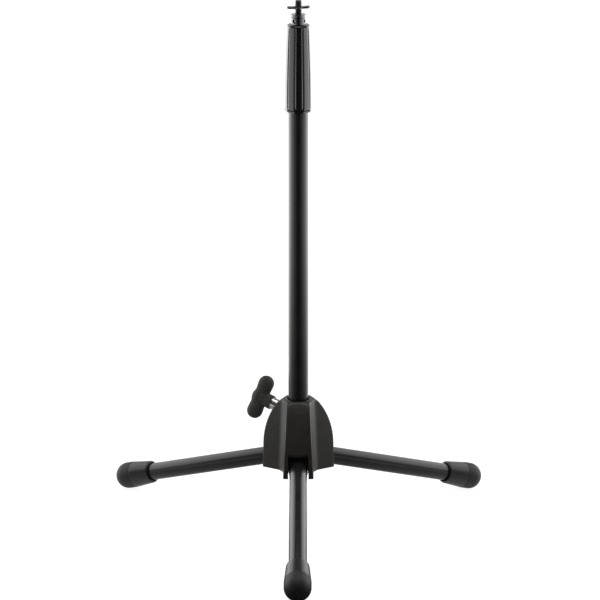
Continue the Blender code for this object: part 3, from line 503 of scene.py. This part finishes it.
def makeWingNut():
    # One closed surface: the outline is the larger of the round body and the two tabs, each tab two straight
    # sides that run apart up to a round tip; its underside, edge and top follow the body's height near the
    # middle and the tab's beyond it, and rise towards the tips
    shape = nutShape
    even = np.arange(shape["columns"]) * math.tau / shape["columns"]
    angles = even - shape["crowding"] * np.sin(2 * even)
    end = shape["wingDepth"] / 2
    centre = shape["span"] / 2 - end
    root = shape["root"] * end
    across = np.abs(np.sin(angles))
    along = np.abs(np.cos(angles))
    slope = (shape["tipSide"] * end - root) / (centre + shape["tipAlong"] * end)
    straight = root / np.maximum(across - slope * along, 1e-6)
    tip = centre * along + np.sqrt(np.maximum(end**2 - (centre * across) ** 2, 0.0))
    wing = np.where((straight * along < centre) & (across > slope * along), straight, tip)
    body, hole, edge = shape["bodyRadius"], shape["hole"], shape["edge"]
    outline = -smoothMin(-wing, -np.full_like(wing, body), shape["blend"])
    share = np.linspace(0, 1, 16)[:, None]
    low = hole + (outline - edge - hole) * share
    turnIn = np.linspace(0, math.pi, 9)[1:-1, None]
    middleHeight = shape["height"] / 2

    def halfHeight(radius):
        beyond = smoothStep(radius, body - shape["stepIn"], body + shape["stepOut"])
        return (shape["wingThickness"] + (shape["height"] - shape["wingThickness"]) * (1 - beyond)) / 2

    lift = np.tan(math.radians(shape["rise"])) * along
    bottomRows = np.stack([low, middleHeight - halfHeight(low) + lift * low], axis=-1)
    tipHalf = halfHeight(outline - edge)
    sideRadius = outline - edge + edge * np.sin(turnIn)
    sideHeight = middleHeight - tipHalf * np.cos(turnIn) + lift * sideRadius
    sideRows = np.stack([sideRadius, sideHeight], axis=-1)
    high = low[::-1]
    topRows = np.stack([high, middleHeight + halfHeight(high) + lift * high], axis=-1)
    rows = np.concatenate([bottomRows, sideRows, topRows])
    radius, height = rows[..., 0], rows[..., 1]
    grid = np.stack([radius * np.cos(angles), radius * np.sin(angles), height], axis=-1)
    turn = math.radians(shape["turn"])
    origin = (mastX, mastY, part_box("wing_nut")[0].z)
    world = placed(grid, origin, (0, 0, 1), (math.cos(turn), math.sin(turn), 0))
    item = meshObject("thin_wing_nut", [world], [True], [grid])
    dress(item, "nut", "wing_nut", "black_steel", "dull_nut_steel")


# Grip: ten narrow grooves between broad flat ribs, run out above a smooth rim

gripShape = {
    "topRadius": 0.0144, "bottomRadius": 0.0173, "rimHeight": 0.0030, "rimStep": 0.0003,
    "grooves": 10, "depth": 0.0012, "width": 9.5, "flatness": 0.80, "topRound": 0.0018, "topLip": 0.0020,
    "wall": 0.0034, "hole": 0.0093, "core": 0.0128, "coreTop": 0.0511, "edge": 0.0003, "coreEdge": 0.0004,
    "rimRound": 0.0006, "columnsPerGroove": 36, "turn": 3.0,
}


def makeGrip():
    # The radius follows a quarter sine from the foot to the narrower top; ribs are part chords of it, and
    # bell-shaped grooves are taken off it, which run out towards the rim and half way at the top
    shape = gripShape
    length = gripTop - gripBottom
    columns = shape["grooves"] * shape["columnsPerGroove"]
    angles = np.arange(columns) * math.tau / columns
    rim, rimRound = shape["rimHeight"], shape["rimRound"]
    straight = length - shape["topRound"]
    rise = np.concatenate([
        np.array([0.0, 0.0002, rimRound]), np.linspace(0.0010, rim - rimRound, 4),
        np.linspace(rim - 0.0003, 3 * rim, 14), np.linspace(3.4 * rim, straight, 60),
    ])
    step = np.where(rise < rim, shape["rimStep"], 0.0) * smoothStep(rim - rise, 0.0, rimRound)
    step = step - rimRound * (1 - np.clip(rise / rimRound, 0, 1)) ** 2
    share = 1 - rise / length
    spread = shape["topRadius"] + (shape["bottomRadius"] - shape["topRadius"]) * np.sin(share * math.pi / 2)
    pitch = math.tau / shape["grooves"]
    offset = np.abs((angles - math.radians(shape["turn"]) + pitch / 2) % pitch - pitch / 2)
    valley = np.exp(-((np.degrees(offset) / (shape["width"] / 2)) ** 2) * 2)
    run = smoothStep(rise, rim, 2.2 * rim) * (1 - 0.6 * smoothStep(rise, straight - 0.004, straight))
    # A flat rib is a chord: the cosine of half a pitch over the cosine of the angle from the rib's middle
    chord = math.cos(pitch / 2) / np.cos(pitch / 2 - offset)
    flat = 1 - shape["flatness"] * (1 - chord)[None, :]
    outer = (spread + step)[:, None] * flat - shape["depth"] * valley[None, :] * run[:, None]
    turnIn = np.radians(np.linspace(12, 90, 8))[:, None]
    topRise = straight + shape["topRound"] * np.sin(turnIn)
    topRadius = outer[-1:] + shape["topRound"] * (np.cos(turnIn) - 1)
    hole, core, edge = shape["hole"], shape["core"], shape["edge"]
    narrow, lip = shape["topRadius"] - shape["wall"], length - shape["topLip"]
    inside = np.array([
        (hole + edge, length), (hole, length - edge), (hole, lip), (narrow, lip),
        (core, shape["coreTop"]), (core, shape["coreEdge"]), (core + shape["coreEdge"], 0.0),
    ])
    radius = np.concatenate([outer, topRadius, inside[:, :1] + 0 * angles])
    height = np.concatenate([rise[:, None] + 0 * angles, topRise + 0 * angles, inside[:, 1:] + 0 * angles])
    grid = polar(radius, height + gripBottom, columns)
    item = meshObject("ribbed_grip", [placed(grid, mastPlace)], [True], [grid])
    dress(item, "grip", "grip_sleeve", "grip_plastic")


makeTube()
makeRod()
makePlug()
makeStud()
makeWingNut()
makeGrip()
print("mast made")


# Legs: black tubes and rubber feet, built along local Z from each pivot

legShape = {
    "azimuths": {"front": -90.0, "right": 30.0, "left": 150.0}, "tilt": 17.7, "pivotRadius": 0.027,
    "radius": 0.0111, "wall": 0.0012, "edge": 0.0004, "start": 0.0075, "end": 0.2277, "columns": 112,
}
footShape = {
    "mouthStart": 0.2020, "boreEnd": 0.2280, "lip": 0.0027, "mouthRound": 0.0018, "ballStart": 0.2300,
    "reach": 0.2410, "ballRadius": 0.0169, "bandStep": 0.0002, "bandDepth": 0.0003, "sinkWidth": 0.0011,
    "sinkDepth": 0.0022, "edge": 0.0002, "boreRound": 0.0004, "columns": 144,
}


def legPlace(azimuth):
    turn, tilt = math.radians(azimuth), math.radians(legShape["tilt"])
    across = (math.cos(turn), math.sin(turn))
    out = legShape["pivotRadius"]
    origin = (mastX + out * across[0], mastY + out * across[1], pivotHeight)
    axis = (across[0] * math.cos(tilt), across[1] * math.cos(tilt), -math.sin(tilt))
    return origin, axis, (-across[1], across[0], 0.0)


def makeLeg(side, azimuth):
    # A hollow tube, and a turned foot: a sleeve with a countersunk mouth that widens evenly to a fine band,
    # then a half ball, pressed flat where it stands on the floor
    origin, axis, across = legPlace(azimuth)
    tube = hollowTube(legShape, legShape["start"], legShape["end"])
    item = meshObject(f"leg_{side}", [placed(tube, origin, axis, across)], [True], [tube])
    dress(item, f"{side}_leg", f"leg_tube_{side}", "black_powder_coat")
    shape = footShape
    bore, edge = legShape["radius"] + runGap, shape["edge"]
    mouth, start, rounding = bore + shape["lip"], shape["mouthStart"], shape["mouthRound"]
    ball, ballStart = shape["ballRadius"], shape["ballStart"]
    sleeve = roundedProfile([
        (0, shape["boreEnd"], 0),
        (bore, shape["boreEnd"], shape["boreRound"]),
        (bore, start + shape["sinkDepth"], edge),
        (bore + shape["sinkWidth"], start, edge),
        (mouth, start, rounding * 0.6),
        (mouth + 0.0004, start + rounding, rounding * 0.35),
        (ball - shape["bandStep"], ballStart - 0.0006, 0.0003),
        (ball - shape["bandDepth"], ballStart, edge),
    ])
    angles = np.linspace(0, math.pi / 2, 36)
    ballRows = np.stack([ball * np.cos(angles), shape["reach"] + ball * np.sin(angles)], axis=-1)
    ballRows[-1, 0] = 0.0
    band = np.array([[ball - 0.0001, ballStart + 0.0003], [ball, ballStart + 0.0008]])
    grid = turned(np.concatenate([sleeve, band, ballRows]), shape["columns"])
    world = placed(grid, origin, axis, across)
    world[..., 2] = np.maximum(world[..., 2], 0.0)
    item = meshObject(f"foot_{side}", [world], [False], [grid])
    dress(item, f"{side}_leg", f"rubber_foot_{side}", "foot_rubber")


for side, azimuth in legShape["azimuths"].items():
    makeLeg(side, azimuth)
print("legs made")


# Hub: three straight-sided arms under a bell curve, joined by flat webs

hubShape = {
    "bellStart": 0.0335, "bellRadius": 0.0885, "reach": 0.0419, "halfWidth": 0.0193, "taper": 0.0048,
    "webDistance": 0.0252, "webTaper": 0.0049, "edge": 0.0016, "crown": 0.0004, "footRound": 0.0010,
    "rim": 0.0168, "shoulderWidth": 0.0140, "shoulderDrop": 0.0083, "shoulderPower": 0.58, "blend": 0.0016,
    "valley": 0.0030, "bore": 0.0140, "rimRound": 0.0005,
    "bayHalf": 0.0121, "bayInner": 0.0165, "bayOuter": 0.0350, "bayRound": 0.0006, "eyeRadius": 0.0118,
    "mouthHalf": 0.0129, "mouthTop": 0.0323, "mouthInner": 0.0340, "mouthRound": 0.0012, "lipRound": 0.0004,
    "padLift": 0.0055, "padInner": 0.0160, "padOuter": 0.0360, "roomRound": 0.0004,
    "sleeveLift": 0.0090, "sleeveHalf": 0.0120, "sleeveInner": 0.0100, "sleeveOuter": 0.0175,
    "pinRadius": 0.0033, "pinSlot": 0.0027, "pinDepth": 0.0157, "overrun": 0.01,
    "coreRadius": 0.0028, "coreDistance": 0.0208, "coreDepth": 0.0225, "coreRound": 0.0008,
}


def bellReach(height):
    # Straight up to the start of the bell, then an arc inwards
    shape = hubShape
    rise = np.maximum(height - shape["bellStart"], 0.0)
    return shape["reach"] - shape["bellRadius"] + np.sqrt(shape["bellRadius"] ** 2 - rise**2)


def hubRows(height):
    # The outline of one arm from web to web, for every height at once: a slightly crowned face, a rounded
    # corner, a straight side, a round valley at its root and half of the flat web
    shape = hubShape
    total = hubTop - hubBottom
    share = height / total
    foot = 1 - np.sqrt(np.clip(1 - (1 - np.clip(height / shape["footRound"], 0, 1)) ** 2, 0, 1))
    inset = shape["footRound"] * foot
    half = shape["halfWidth"] - shape["taper"] * share - inset
    web = shape["webDistance"] - shape["webTaper"] * share - inset
    reach = bellReach(height) - inset
    edge = shape["edge"]
    root = (web - half * math.sin(math.pi / 3)) / math.cos(math.pi / 3)
    root = np.minimum(root, reach - 2 * edge)
    valley = np.minimum(shape["valley"], 0.8 * (reach - edge - root))
    ones = np.ones_like(height)

    def pair(x, y):
        return np.stack(np.broadcast_arrays(x * ones, y * ones), axis=-1)

    t = np.linspace(0, 1, 11)[None, :-1]
    face = pair(reach + shape["crown"] * (1 - t**2), t * (half - edge))
    bend = np.linspace(0, math.pi / 2, 9)[None, :]
    corner = pair(reach - edge + edge * np.cos(bend), half - edge + edge * np.sin(bend))
    t = np.linspace(0, 1, 14)[None, 1:-1]
    side = pair(reach - edge + (root + valley - reach + edge) * t, half)
    webMiddle = np.stack([web * math.cos(math.pi / 3), web * math.sin(math.pi / 3)], axis=-1)
    rootPoint = np.stack([root, half], axis=-1)
    down = webMiddle - rootPoint
    down /= np.maximum(np.linalg.norm(down, axis=-1, keepdims=True), 1e-9)
    t = np.linspace(0, 1, 9)[None, :, None]
    first = rootPoint + np.stack([valley, 0 * valley], axis=-1)
    room = np.linalg.norm(webMiddle - rootPoint, axis=-1)
    last = rootPoint + down * np.minimum(valley, 0.9 * room)[..., None]
    bowl = (1 - t) ** 2 * first + 2 * t * (1 - t) * rootPoint + t**2 * last
    t = np.linspace(0, 1, 8)[None, 1:, None]
    flat = last * (1 - t) + webMiddle * t
    halfArm = np.concatenate([face, corner, side, bowl, flat], axis=1)
    mirrored = halfArm[:, -2:0:-1] * np.array([1.0, -1.0])
    return np.concatenate([mirrored, halfArm], axis=1)


def hubShell():
    # The arms' outlines stacked up to the top; at the shoulder, a power curve round the mast limits them
    shape = hubShape
    total = hubTop - hubBottom
    foot = shape["footRound"] * (1 - np.cos(np.linspace(0, math.pi / 2, 6)))
    straight = np.linspace(shape["footRound"], shape["bellStart"], 14)[1:]
    bell = np.linspace(shape["bellStart"], total - shape["shoulderDrop"], 40)[1:]
    out = np.linspace(1, 0, 22)[1:]
    shoulder = total - shape["shoulderDrop"] * out ** (1 / shape["shoulderPower"])
    height = np.concatenate([foot, straight, bell, shoulder])[:, None]
    arm = hubRows(height)
    turns = [math.radians(azimuth) for azimuth in legShape["azimuths"].values()]
    arms = [arm @ np.array([[math.cos(a), math.sin(a)], [-math.sin(a), math.cos(a)]]) for a in turns]
    outline = np.concatenate(arms, axis=1)
    length = np.linalg.norm(outline, axis=-1)
    drop = np.maximum(total - height, 0.0)
    limit = shape["rim"] + shape["shoulderWidth"] * (drop / shape["shoulderDrop"]) ** shape["shoulderPower"]
    limit = np.where(drop > shape["shoulderDrop"] + 1e-9, limit + (drop - shape["shoulderDrop"]) * 2.0, limit)
    clipped = smoothMin(length, limit, shape["blend"])
    outline = outline * (clipped / length)[..., None]
    wall = np.concatenate([outline, np.broadcast_to(height[..., None], (*outline.shape[:2], 1))], axis=-1)
    direction = outline[-1] / np.linalg.norm(outline[-1], axis=-1, keepdims=True)
    bore, rim = shape["bore"], shape["rimRound"]
    inner = [(bore + rim, total), (bore + 0.3 * rim, total - 0.3 * rim), (bore, total - rim), (bore, 0.0)]
    rings = []
    for radius, level in inner:
        rings.append(np.concatenate([direction * radius, np.full((len(direction), 1), level)], axis=1))
    return np.concatenate([wall, np.stack(rings)])


def boxGrid(section, stations):
    # A closed section of (y, z) points at each x station, drawn together at both ends
    rows = []
    for x, points in zip(stations, section):
        rows.append(np.concatenate([np.full((len(points), 1), x), points], axis=1))
    first = np.broadcast_to(rows[0].mean(axis=0), rows[0].shape)
    last = np.broadcast_to(rows[-1].mean(axis=0), rows[-1].shape)
    return np.stack([first, *rows, last])


def doorway(half, top, low, rounding):
    # An upright opening with round upper corners, as (y, z) points
    angle = np.linspace(0, math.pi / 2, 7)
    across = half - rounding + rounding * np.cos(angle)
    right = np.stack([across, top - rounding + rounding * np.sin(angle)], axis=-1)
    left = right[::-1] * np.array([-1.0, 1.0])
    return np.concatenate([[[half, low]], right, left, [[-half, low]]])


def turnedArms(grid):
    # The same cutter at each leg
    turns = [(math.cos(math.radians(a)), math.sin(math.radians(a)), 0) for a in legShape["azimuths"].values()]
    return [placed(grid, (mastX, mastY, hubBottom), (0, 0, 1), side) for side in turns]


def steppedBore(steps, end, columns):
    # A turned cutter that widens at the start of each (radius, start)
    ends = [start for radius, start in steps[1:]] + [end]
    corners = [(0, steps[0][1], 0)]
    for (radius, start), last in zip(steps, ends):
        corners += [(radius, start, 0), (radius, last, 0)]
    return turned(roundedProfile([*corners, (0, end, 0)]), columns)


def makeHub():
    # The shell less, at each leg, the room with a sloped ceiling, the mouth with a flared lip, the gaps below
    # the bearing pads and the sleeve, and the pin's keyhole; then the webs' hollows and the screw's room
    shape = hubShape
    shell = hubShell()
    item = meshObject("hub_shell", [placed(shell, (mastX, mastY, hubBottom))], [True], [shell])
    tilt = math.radians(legShape["tilt"])
    pivotOut, pivot = legShape["pivotRadius"], pivotHeight - hubBottom
    overrun = shape["overrun"]
    ceiling = pivot + shape["eyeRadius"] / math.cos(tilt)
    stations = [shape["bayInner"], shape["bayOuter"]]
    tops = [ceiling - (x - pivotOut) * math.tan(tilt) for x in stations]
    section = [doorway(shape["bayHalf"], top, -overrun, shape["bayRound"]) for top in tops]
    cut(item, meshObject("leg_rooms", turnedArms(boxGrid(section, stations)), [False] * 3))
    lip = shape["lipRound"]
    face = shape["reach"] + shape["crown"]
    flare = np.linspace(0, 1, 6)
    stations = np.concatenate([[shape["mouthInner"]], face - lip + lip * flare, [face + overrun]])
    growth = np.concatenate([[0], lip * (1 - np.sqrt(1 - flare**2)), [lip]])
    half, top, rounding = shape["mouthHalf"], shape["mouthTop"], shape["mouthRound"]
    section = [doorway(half + g, top + g, -overrun, rounding + g) for g in growth]
    cut(item, meshObject("leg_mouths", turnedArms(boxGrid(section, stations)), [False] * 3))
    low = doorway(half, shape["padLift"], -overrun, shape["roomRound"])
    pads = boxGrid([low, low], [shape["padInner"], shape["padOuter"]])
    cut(item, meshObject("under_pads", turnedArms(pads), [False] * 3))
    low = doorway(shape["sleeveHalf"], shape["sleeveLift"], -overrun, shape["roomRound"])
    gaps = boxGrid([low, low], [shape["sleeveInner"], shape["sleeveOuter"]])
    cut(item, meshObject("folded_leg_rooms", turnedArms(gaps), [False] * 3))
    angle = np.linspace(-0.30 * math.pi, 1.30 * math.pi, 24)
    radius, slot = shape["pinRadius"], shape["pinSlot"]
    seat = np.stack([radius * np.cos(angle), pivot + radius * np.sin(angle)], axis=-1)
    keyhole = np.concatenate([seat, [[-slot, -overrun], [slot, -overrun]]])
    keyholes = boxGrid([keyhole, keyhole], [-shape["pinDepth"], shape["pinDepth"]])
    keyholes = np.stack([pivotOut + keyholes[..., 1], keyholes[..., 0], keyholes[..., 2]], axis=-1)
    cut(item, meshObject("pin_keyholes", turnedArms(keyholes), [False] * 3))
    radius, depth = shape["coreRadius"], shape["coreDepth"]
    corners = [(0, -overrun, 0), (radius, -overrun, 0), (radius, depth, shape["coreRound"]), (0, depth, 0)]
    core = turned(roundedProfile(corners), 32)
    cores = []
    for azimuth in legShape["azimuths"].values():
        turn, away = math.radians(azimuth + 60), shape["coreDistance"]
        cores.append(placed(core, (mastX + away * math.cos(turn), mastY + away * math.sin(turn), hubBottom)))
    cut(item, meshObject("web_hollows", cores, [False] * 3))
    bore = steppedBore(clampShape["rooms"], clampShape["roomEnd"], 64)
    cut(item, meshObject("screw_room", [clampPlaced(bore)], [False]))
    dress(item, "hub", "hub_housing", "hub_plastic")


# Clamp: screw, ferrule and two-lobe knob, built along local Z from the mast's axis outwards

clampShape = {
    "azimuth": 150.0, "tilt": 16.5, "height": 0.0693, "ringRadius": 0.0078, "ringStart": 0.0350,
    "ringEnd": 0.0456, "ringRound": 0.0010, "edge": 0.0003, "skirtStart": 0.0305, "skirtBore": 0.0066,
    # Rooms in the hub, as radius and start: for the shoe, the insert and the ferrule's skirt
    "rooms": ((0.0051, 0.0020), (0.0065, 0.0212), (0.0082, 0.0276)), "roomEnd": 0.0400,
}
screwShape = {
    "radius": 0.00395, "pitch": 0.00125, "depth": 0.00068, "chamfer": 0.0010, "start": 0.01784, "end": 0.0456,
}
knobShape = {
    "collarStart": 0.0396, "collarRadius": 0.0090, "collarLength": 0.009, "collarSpread": 0.94,
    "collarOverlap": 0.003, "barCentre": 0.0579, "lobeRadius": 0.0101, "lobeSpread": 0.0187, "waist": 0.0089,
    "domeRadius": 0.0119, "domeHeight": 0.0112, "underside": 0.93, "turn": 18.0, "blend": 0.0022,
    "rows": 150, "columns": 144,
}


def clampPlaced(grid):
    # Local Z runs out along the screw, local X down across it
    turn, tilt = math.radians(clampShape["azimuth"]), math.radians(clampShape["tilt"])
    axis = (math.cos(tilt) * math.cos(turn), math.cos(tilt) * math.sin(turn), math.sin(tilt))
    side = (math.sin(tilt) * math.cos(turn), math.sin(tilt) * math.sin(turn), -math.cos(tilt))
    return placed(grid, (mastX, mastY, hubBottom + clampShape["height"]), axis, side)


def makeClamp():
    # A threaded bar, and a turned ring with a skirt over the hub's threaded insert
    grid = threadGrid(screwShape, screwShape["start"], screwShape["end"])
    item = meshObject("clamp_thread", [clampPlaced(grid)], [False], [grid])
    dress(item, "knob", "clamp_screw", "zinc_steel")
    shape = clampShape
    hole, skirt = screwShape["radius"] + runGap, shape["skirtBore"]
    corners = [
        (hole, shape["ringStart"], shape["edge"]),
        (skirt, shape["ringStart"], 0.0002),
        (skirt, shape["skirtStart"], 0.0002),
        (shape["ringRadius"], shape["skirtStart"], shape["ringRound"]),
        (shape["ringRadius"], shape["ringEnd"], 0.0004),
        (hole, shape["ringEnd"], shape["edge"]),
    ]
    grid = turned(roundedProfile(corners, 10), 112)
    item = meshObject("bright_ferrule", [clampPlaced(grid)], [True], [grid])
    dress(item, "knob", "knob_ferrule", "nickel_plate")


def makeKnob():
    # A bar of two ball lobes and a waist, as rows along its length; the radius of each point is the
    # larger of the bar's and, on the outer side, of a half ellipsoid, with a soft change between them
    shape = knobShape
    lobe, spread, waist = shape["lobeRadius"], shape["lobeSpread"], shape["waist"]
    domeRadius = shape["domeRadius"]
    even = np.linspace(-math.pi / 2, math.pi / 2, shape["rows"])
    along = (spread + lobe) * np.sin(even)[:, None]
    far = np.abs(along)
    out = np.clip(1 - (np.maximum(far - spread, 0) / lobe) ** 2, 0, 1)
    bar = np.where(far > spread, lobe * np.sqrt(out), waist + (lobe - waist) * smoothStep(far, 0, spread))
    angles = (np.arange(shape["columns"]) * math.tau / shape["columns"])[None, :]
    sine, cosine = np.sin(angles), np.cos(angles)
    rest = np.clip(1 - (along / domeRadius) ** 2, 0, 1)
    dome = np.sqrt(rest / ((sine / domeRadius) ** 2 + (cosine / shape["domeHeight"]) ** 2))
    dome = np.where(cosine > 0, dome, np.sqrt(rest) * domeRadius * shape["underside"])
    radius = -smoothMin(-bar, -dome, shape["blend"])
    radius = np.where(far > spread, bar, radius)
    radius[0], radius[-1] = 0.0, 0.0
    body = np.stack([along + 0 * angles, radius * sine, radius * cosine], axis=-1)
    turn = math.radians(shape["turn"])
    x = body[..., 0] * math.cos(turn) - body[..., 1] * math.sin(turn)
    y = body[..., 0] * math.sin(turn) + body[..., 1] * math.cos(turn)
    grid = np.stack([x, y, body[..., 2] + shape["barCentre"]], axis=-1)
    item = meshObject("knob_body", [clampPlaced(grid)], [False], [body])
    start, end = shape["collarStart"], shape["barCentre"] - shape["collarOverlap"]
    collar = turned(roundedProfile([
        (0, start, 0),
        (shape["collarRadius"], start, 0.0008),
        (shape["collarRadius"], start + shape["collarLength"], 0.001),
        (domeRadius * shape["collarSpread"], end, 0.001),
        (0, end, 0),
    ]), 96)
    cut(item, meshObject("knob_collar", [clampPlaced(collar)], [False], [collar]), "UNION")
    pocket = steppedBore([(clampShape["ringRadius"] + runGap, 0.03)], clampShape["ringEnd"] + runGap, 96)
    cut(item, meshObject("ferrule_room", [clampPlaced(pocket)], [False]))
    dress(item, "knob", "clamp_knob", "knob_plastic")


makeHub()
makeClamp()
makeKnob()
print("hub and clamp made")


# Inner pieces stay as they are on the frame and take their finish

innerFinishes = {
    "tube_bush": "guide_nylon", "clamp_insert": "brass", "tube_end_cap": "cap_plastic",
    "clutch_ferrule": "zinc_steel", "clutch_collet": "guide_nylon", "rod_guide": "guide_nylon",
    "clamp_shoe": "guide_nylon", "leg_knuckle_front": "knuckle_plastic",
    "leg_knuckle_right": "knuckle_plastic", "leg_knuckle_left": "knuckle_plastic",
    "pivot_pin_front": "zinc_steel", "pivot_pin_right": "zinc_steel", "pivot_pin_left": "zinc_steel",
}
for node, finish in innerFinishes.items():
    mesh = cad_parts[node].data
    mesh.materials.clear()
    mesh.materials.append(finishes[finish])


# Studio: pale floor with painted glows and painted shade that show in glosses, two big side lamps, a soft top
# lamp, a white ground behind

studio = {
    # The floor's colour and glows in a gloss are painted shade and painted glows; seen directly it is plain
    # white
    "floorRadius": 9.0, "floorColour": 0.70, "floorSeen": 0.30, "glossFloorPaintedShade": 0.5, "floorGlow": 0.90,
    "floorGlowFar": 1.05, "paintedSideGlow": 3.7, "paintedNearGlow": 1.5, "frontFill": 0.42, "backFill": 0.08,
    "backGlow": 1.1, "sideDistance": 2.1, "sideAngle": 62.0, "sideHeight": 1.05, "sideSize": (2.7, 1.9),
    "sidePower": 34.0, "topPower": 18.0, "topSize": 1.2, "topHeight": 2.4, "topBack": 0.0, "aimHeight": 0.25,
    # Where each glow starts and ends: round to the back from -1 to 1, or in metres from the mast
    "sideRound": (-1.0, 0.12), "sideAway": (0.25, 1.7), "sideFade": (0.3, 0.95, 1.0, 0.45),
    "nearRound": (0.2, 0.6), "nearAway": (0.08, 0.4), "seenAway": (0.3, 2.5),
    "fillRound": (-0.8, 0.4), "backRound": (-0.5, 0.5), "backLow": (0.55, 0.33),
}
cameraView = {
    "lens": 201.5, "sensor": 36.0, "shift": 0.0027, "turn": 0.2, "distance": 4.0, "height": 1.562,
    "pitch": 72.46,
}


def heading(place):
    # How far round to the back a place lies, from -1 before the stand to 1 behind it, and its distance
    apart = place.node("ShaderNodeSeparateXYZ", {}, {0: place})
    x, y = apart, Signal(place.tree, apart.socket.node.outputs[1])
    away = (x * x + y * y + 0.0001) ** 0.5
    return y / away, away


def rayKinds(place):
    # Whether the ray comes straight from the camera, and whether it is a mirrored one
    path = place.node("ShaderNodeLightPath")
    return path, Signal(place.tree, path.socket.node.outputs["Is Glossy Ray"])


def makeFloor():
    # Seen directly it is white. In a gloss it shows painted glows, though it is no lamp: more and more from
    # the front round to the sides and away from the mast, less again behind, with a second, nearer painted
    # glow behind the stand; its colour in a gloss is painted shade, dark before the stand
    rings = np.array([0.0, 0.5, 1.0, 2.0, 4.0, studio["floorRadius"]])
    grid = polar(rings, np.full(len(rings), -0.0004), 96)
    floor = meshObject("studio_floor", [placed(grid, mastPlace)], [False])
    material, shader, place = startMaterial("studio_floor")
    shader.inputs["Roughness"].default_value = 0.9
    shader.inputs["Specular IOR Level"].default_value = 0.0
    back, away = heading(place - mastPlace)
    side = back.range(*studio["sideRound"], shape="LINEAR")
    seen, mirrored = rayKinds(place)
    floorBaseAndPaintedShade = (1.0 - seen - mirrored) * studio["floorColour"] + seen * studio["floorSeen"]
    # Painted shade: in a gloss the floor's colour is black before the stand and lighter round to the sides
    floorBaseAndPaintedShade = floorBaseAndPaintedShade + mirrored * side * studio["glossFloorPaintedShade"]
    glow = seen * away.range(*studio["seenAway"], studio["floorGlow"], studio["floorGlowFar"])
    # Painted glows that show only in a gloss, though the floor is no lamp: a far one to the sides and a near
    # one behind the stand
    far = side * away.range(*studio["sideAway"], 0.0, studio["paintedSideGlow"]) * back.range(*studio["sideFade"])
    near = back.range(*studio["nearRound"]) * away.range(*studio["nearAway"]) * studio["paintedNearGlow"]
    glow = glow + mirrored * (far + near)
    for signal, name in ((floorBaseAndPaintedShade, "Base Color"), (glow, "Emission Color")):
        signal.node("ShaderNodeCombineXYZ", {}, {0: signal, 1: signal, 2: signal}).to(shader.inputs[name])
    shader.inputs["Emission Strength"].default_value = 1.0
    floor.data.materials.append(material)


def makeLamp(name, location, size, power):
    data = bpy.data.lights.new(name, "AREA")
    data.shape = "RECTANGLE"
    data.size, data.size_y = size
    data.energy = power
    lamp = bpy.data.objects.new(name, data)
    bpy.context.scene.collection.objects.link(lamp)
    lamp.location = location
    aim = np.array([mastX, mastY, studio["aimHeight"]]) - np.array(location)
    flat = math.hypot(aim[0], aim[1])
    lamp.rotation_euler = (math.atan2(flat, -aim[2]), 0.0, math.atan2(aim[1], aim[0]) - math.pi / 2)
    lamp.visible_camera = False


def makeStudio():
    makeFloor()
    angle, distance = math.radians(studio["sideAngle"]), studio["sideDistance"]
    for name, way in (("lamp_left", -1), ("lamp_right", 1)):
        x = mastX + way * distance * math.sin(angle)
        spot = (x, mastY + distance * math.cos(angle), studio["sideHeight"])
        makeLamp(name, spot, studio["sideSize"], studio["sidePower"])
    above = (mastX, mastY + studio["topBack"], studio["topHeight"])
    makeLamp("lamp_top", above, (studio["topSize"], studio["topSize"]), studio["topPower"])
    world = bpy.data.worlds.new("studio_world")
    bpy.context.scene.world = world
    world.use_nodes = True
    tree = world.node_tree
    ground = tree.nodes["Background"]
    direction = Signal(tree, tree.nodes.new("ShaderNodeTexCoord").outputs["Generated"])
    seen, mirrored = rayKinds(direction)
    back = heading(direction)[0]
    low = direction.node("ShaderNodeSeparateXYZ", {}, {0: direction}, 2).range(*studio["backLow"])
    fill = back.range(*studio["fillRound"], studio["frontFill"], studio["backFill"])
    behind = low * back.range(*studio["backRound"]) * studio["backGlow"]
    glow = seen + mirrored * behind + (1.0 - seen - mirrored) * fill
    ground.inputs["Color"].default_value = (1, 1, 1, 1)
    glow.to(ground.inputs["Strength"])


def makeCamera():
    data = bpy.data.cameras.new("camera")
    data.lens = cameraView["lens"]
    data.sensor_width = cameraView["sensor"]
    data.shift_x = cameraView["shift"]
    camera = bpy.data.objects.new("camera", data)
    bpy.context.scene.collection.objects.link(camera)
    turn, away = math.radians(cameraView["turn"]), cameraView["distance"]
    camera.location = (mastX + away * math.sin(turn), mastY - away * math.cos(turn), cameraView["height"])
    camera.rotation_euler = (math.radians(cameraView["pitch"]), 0.0, turn)
    bpy.context.scene.camera = camera


makeStudio()
makeCamera()
view = bpy.context.scene.view_settings
view.view_transform = "Standard"
print("studio made")
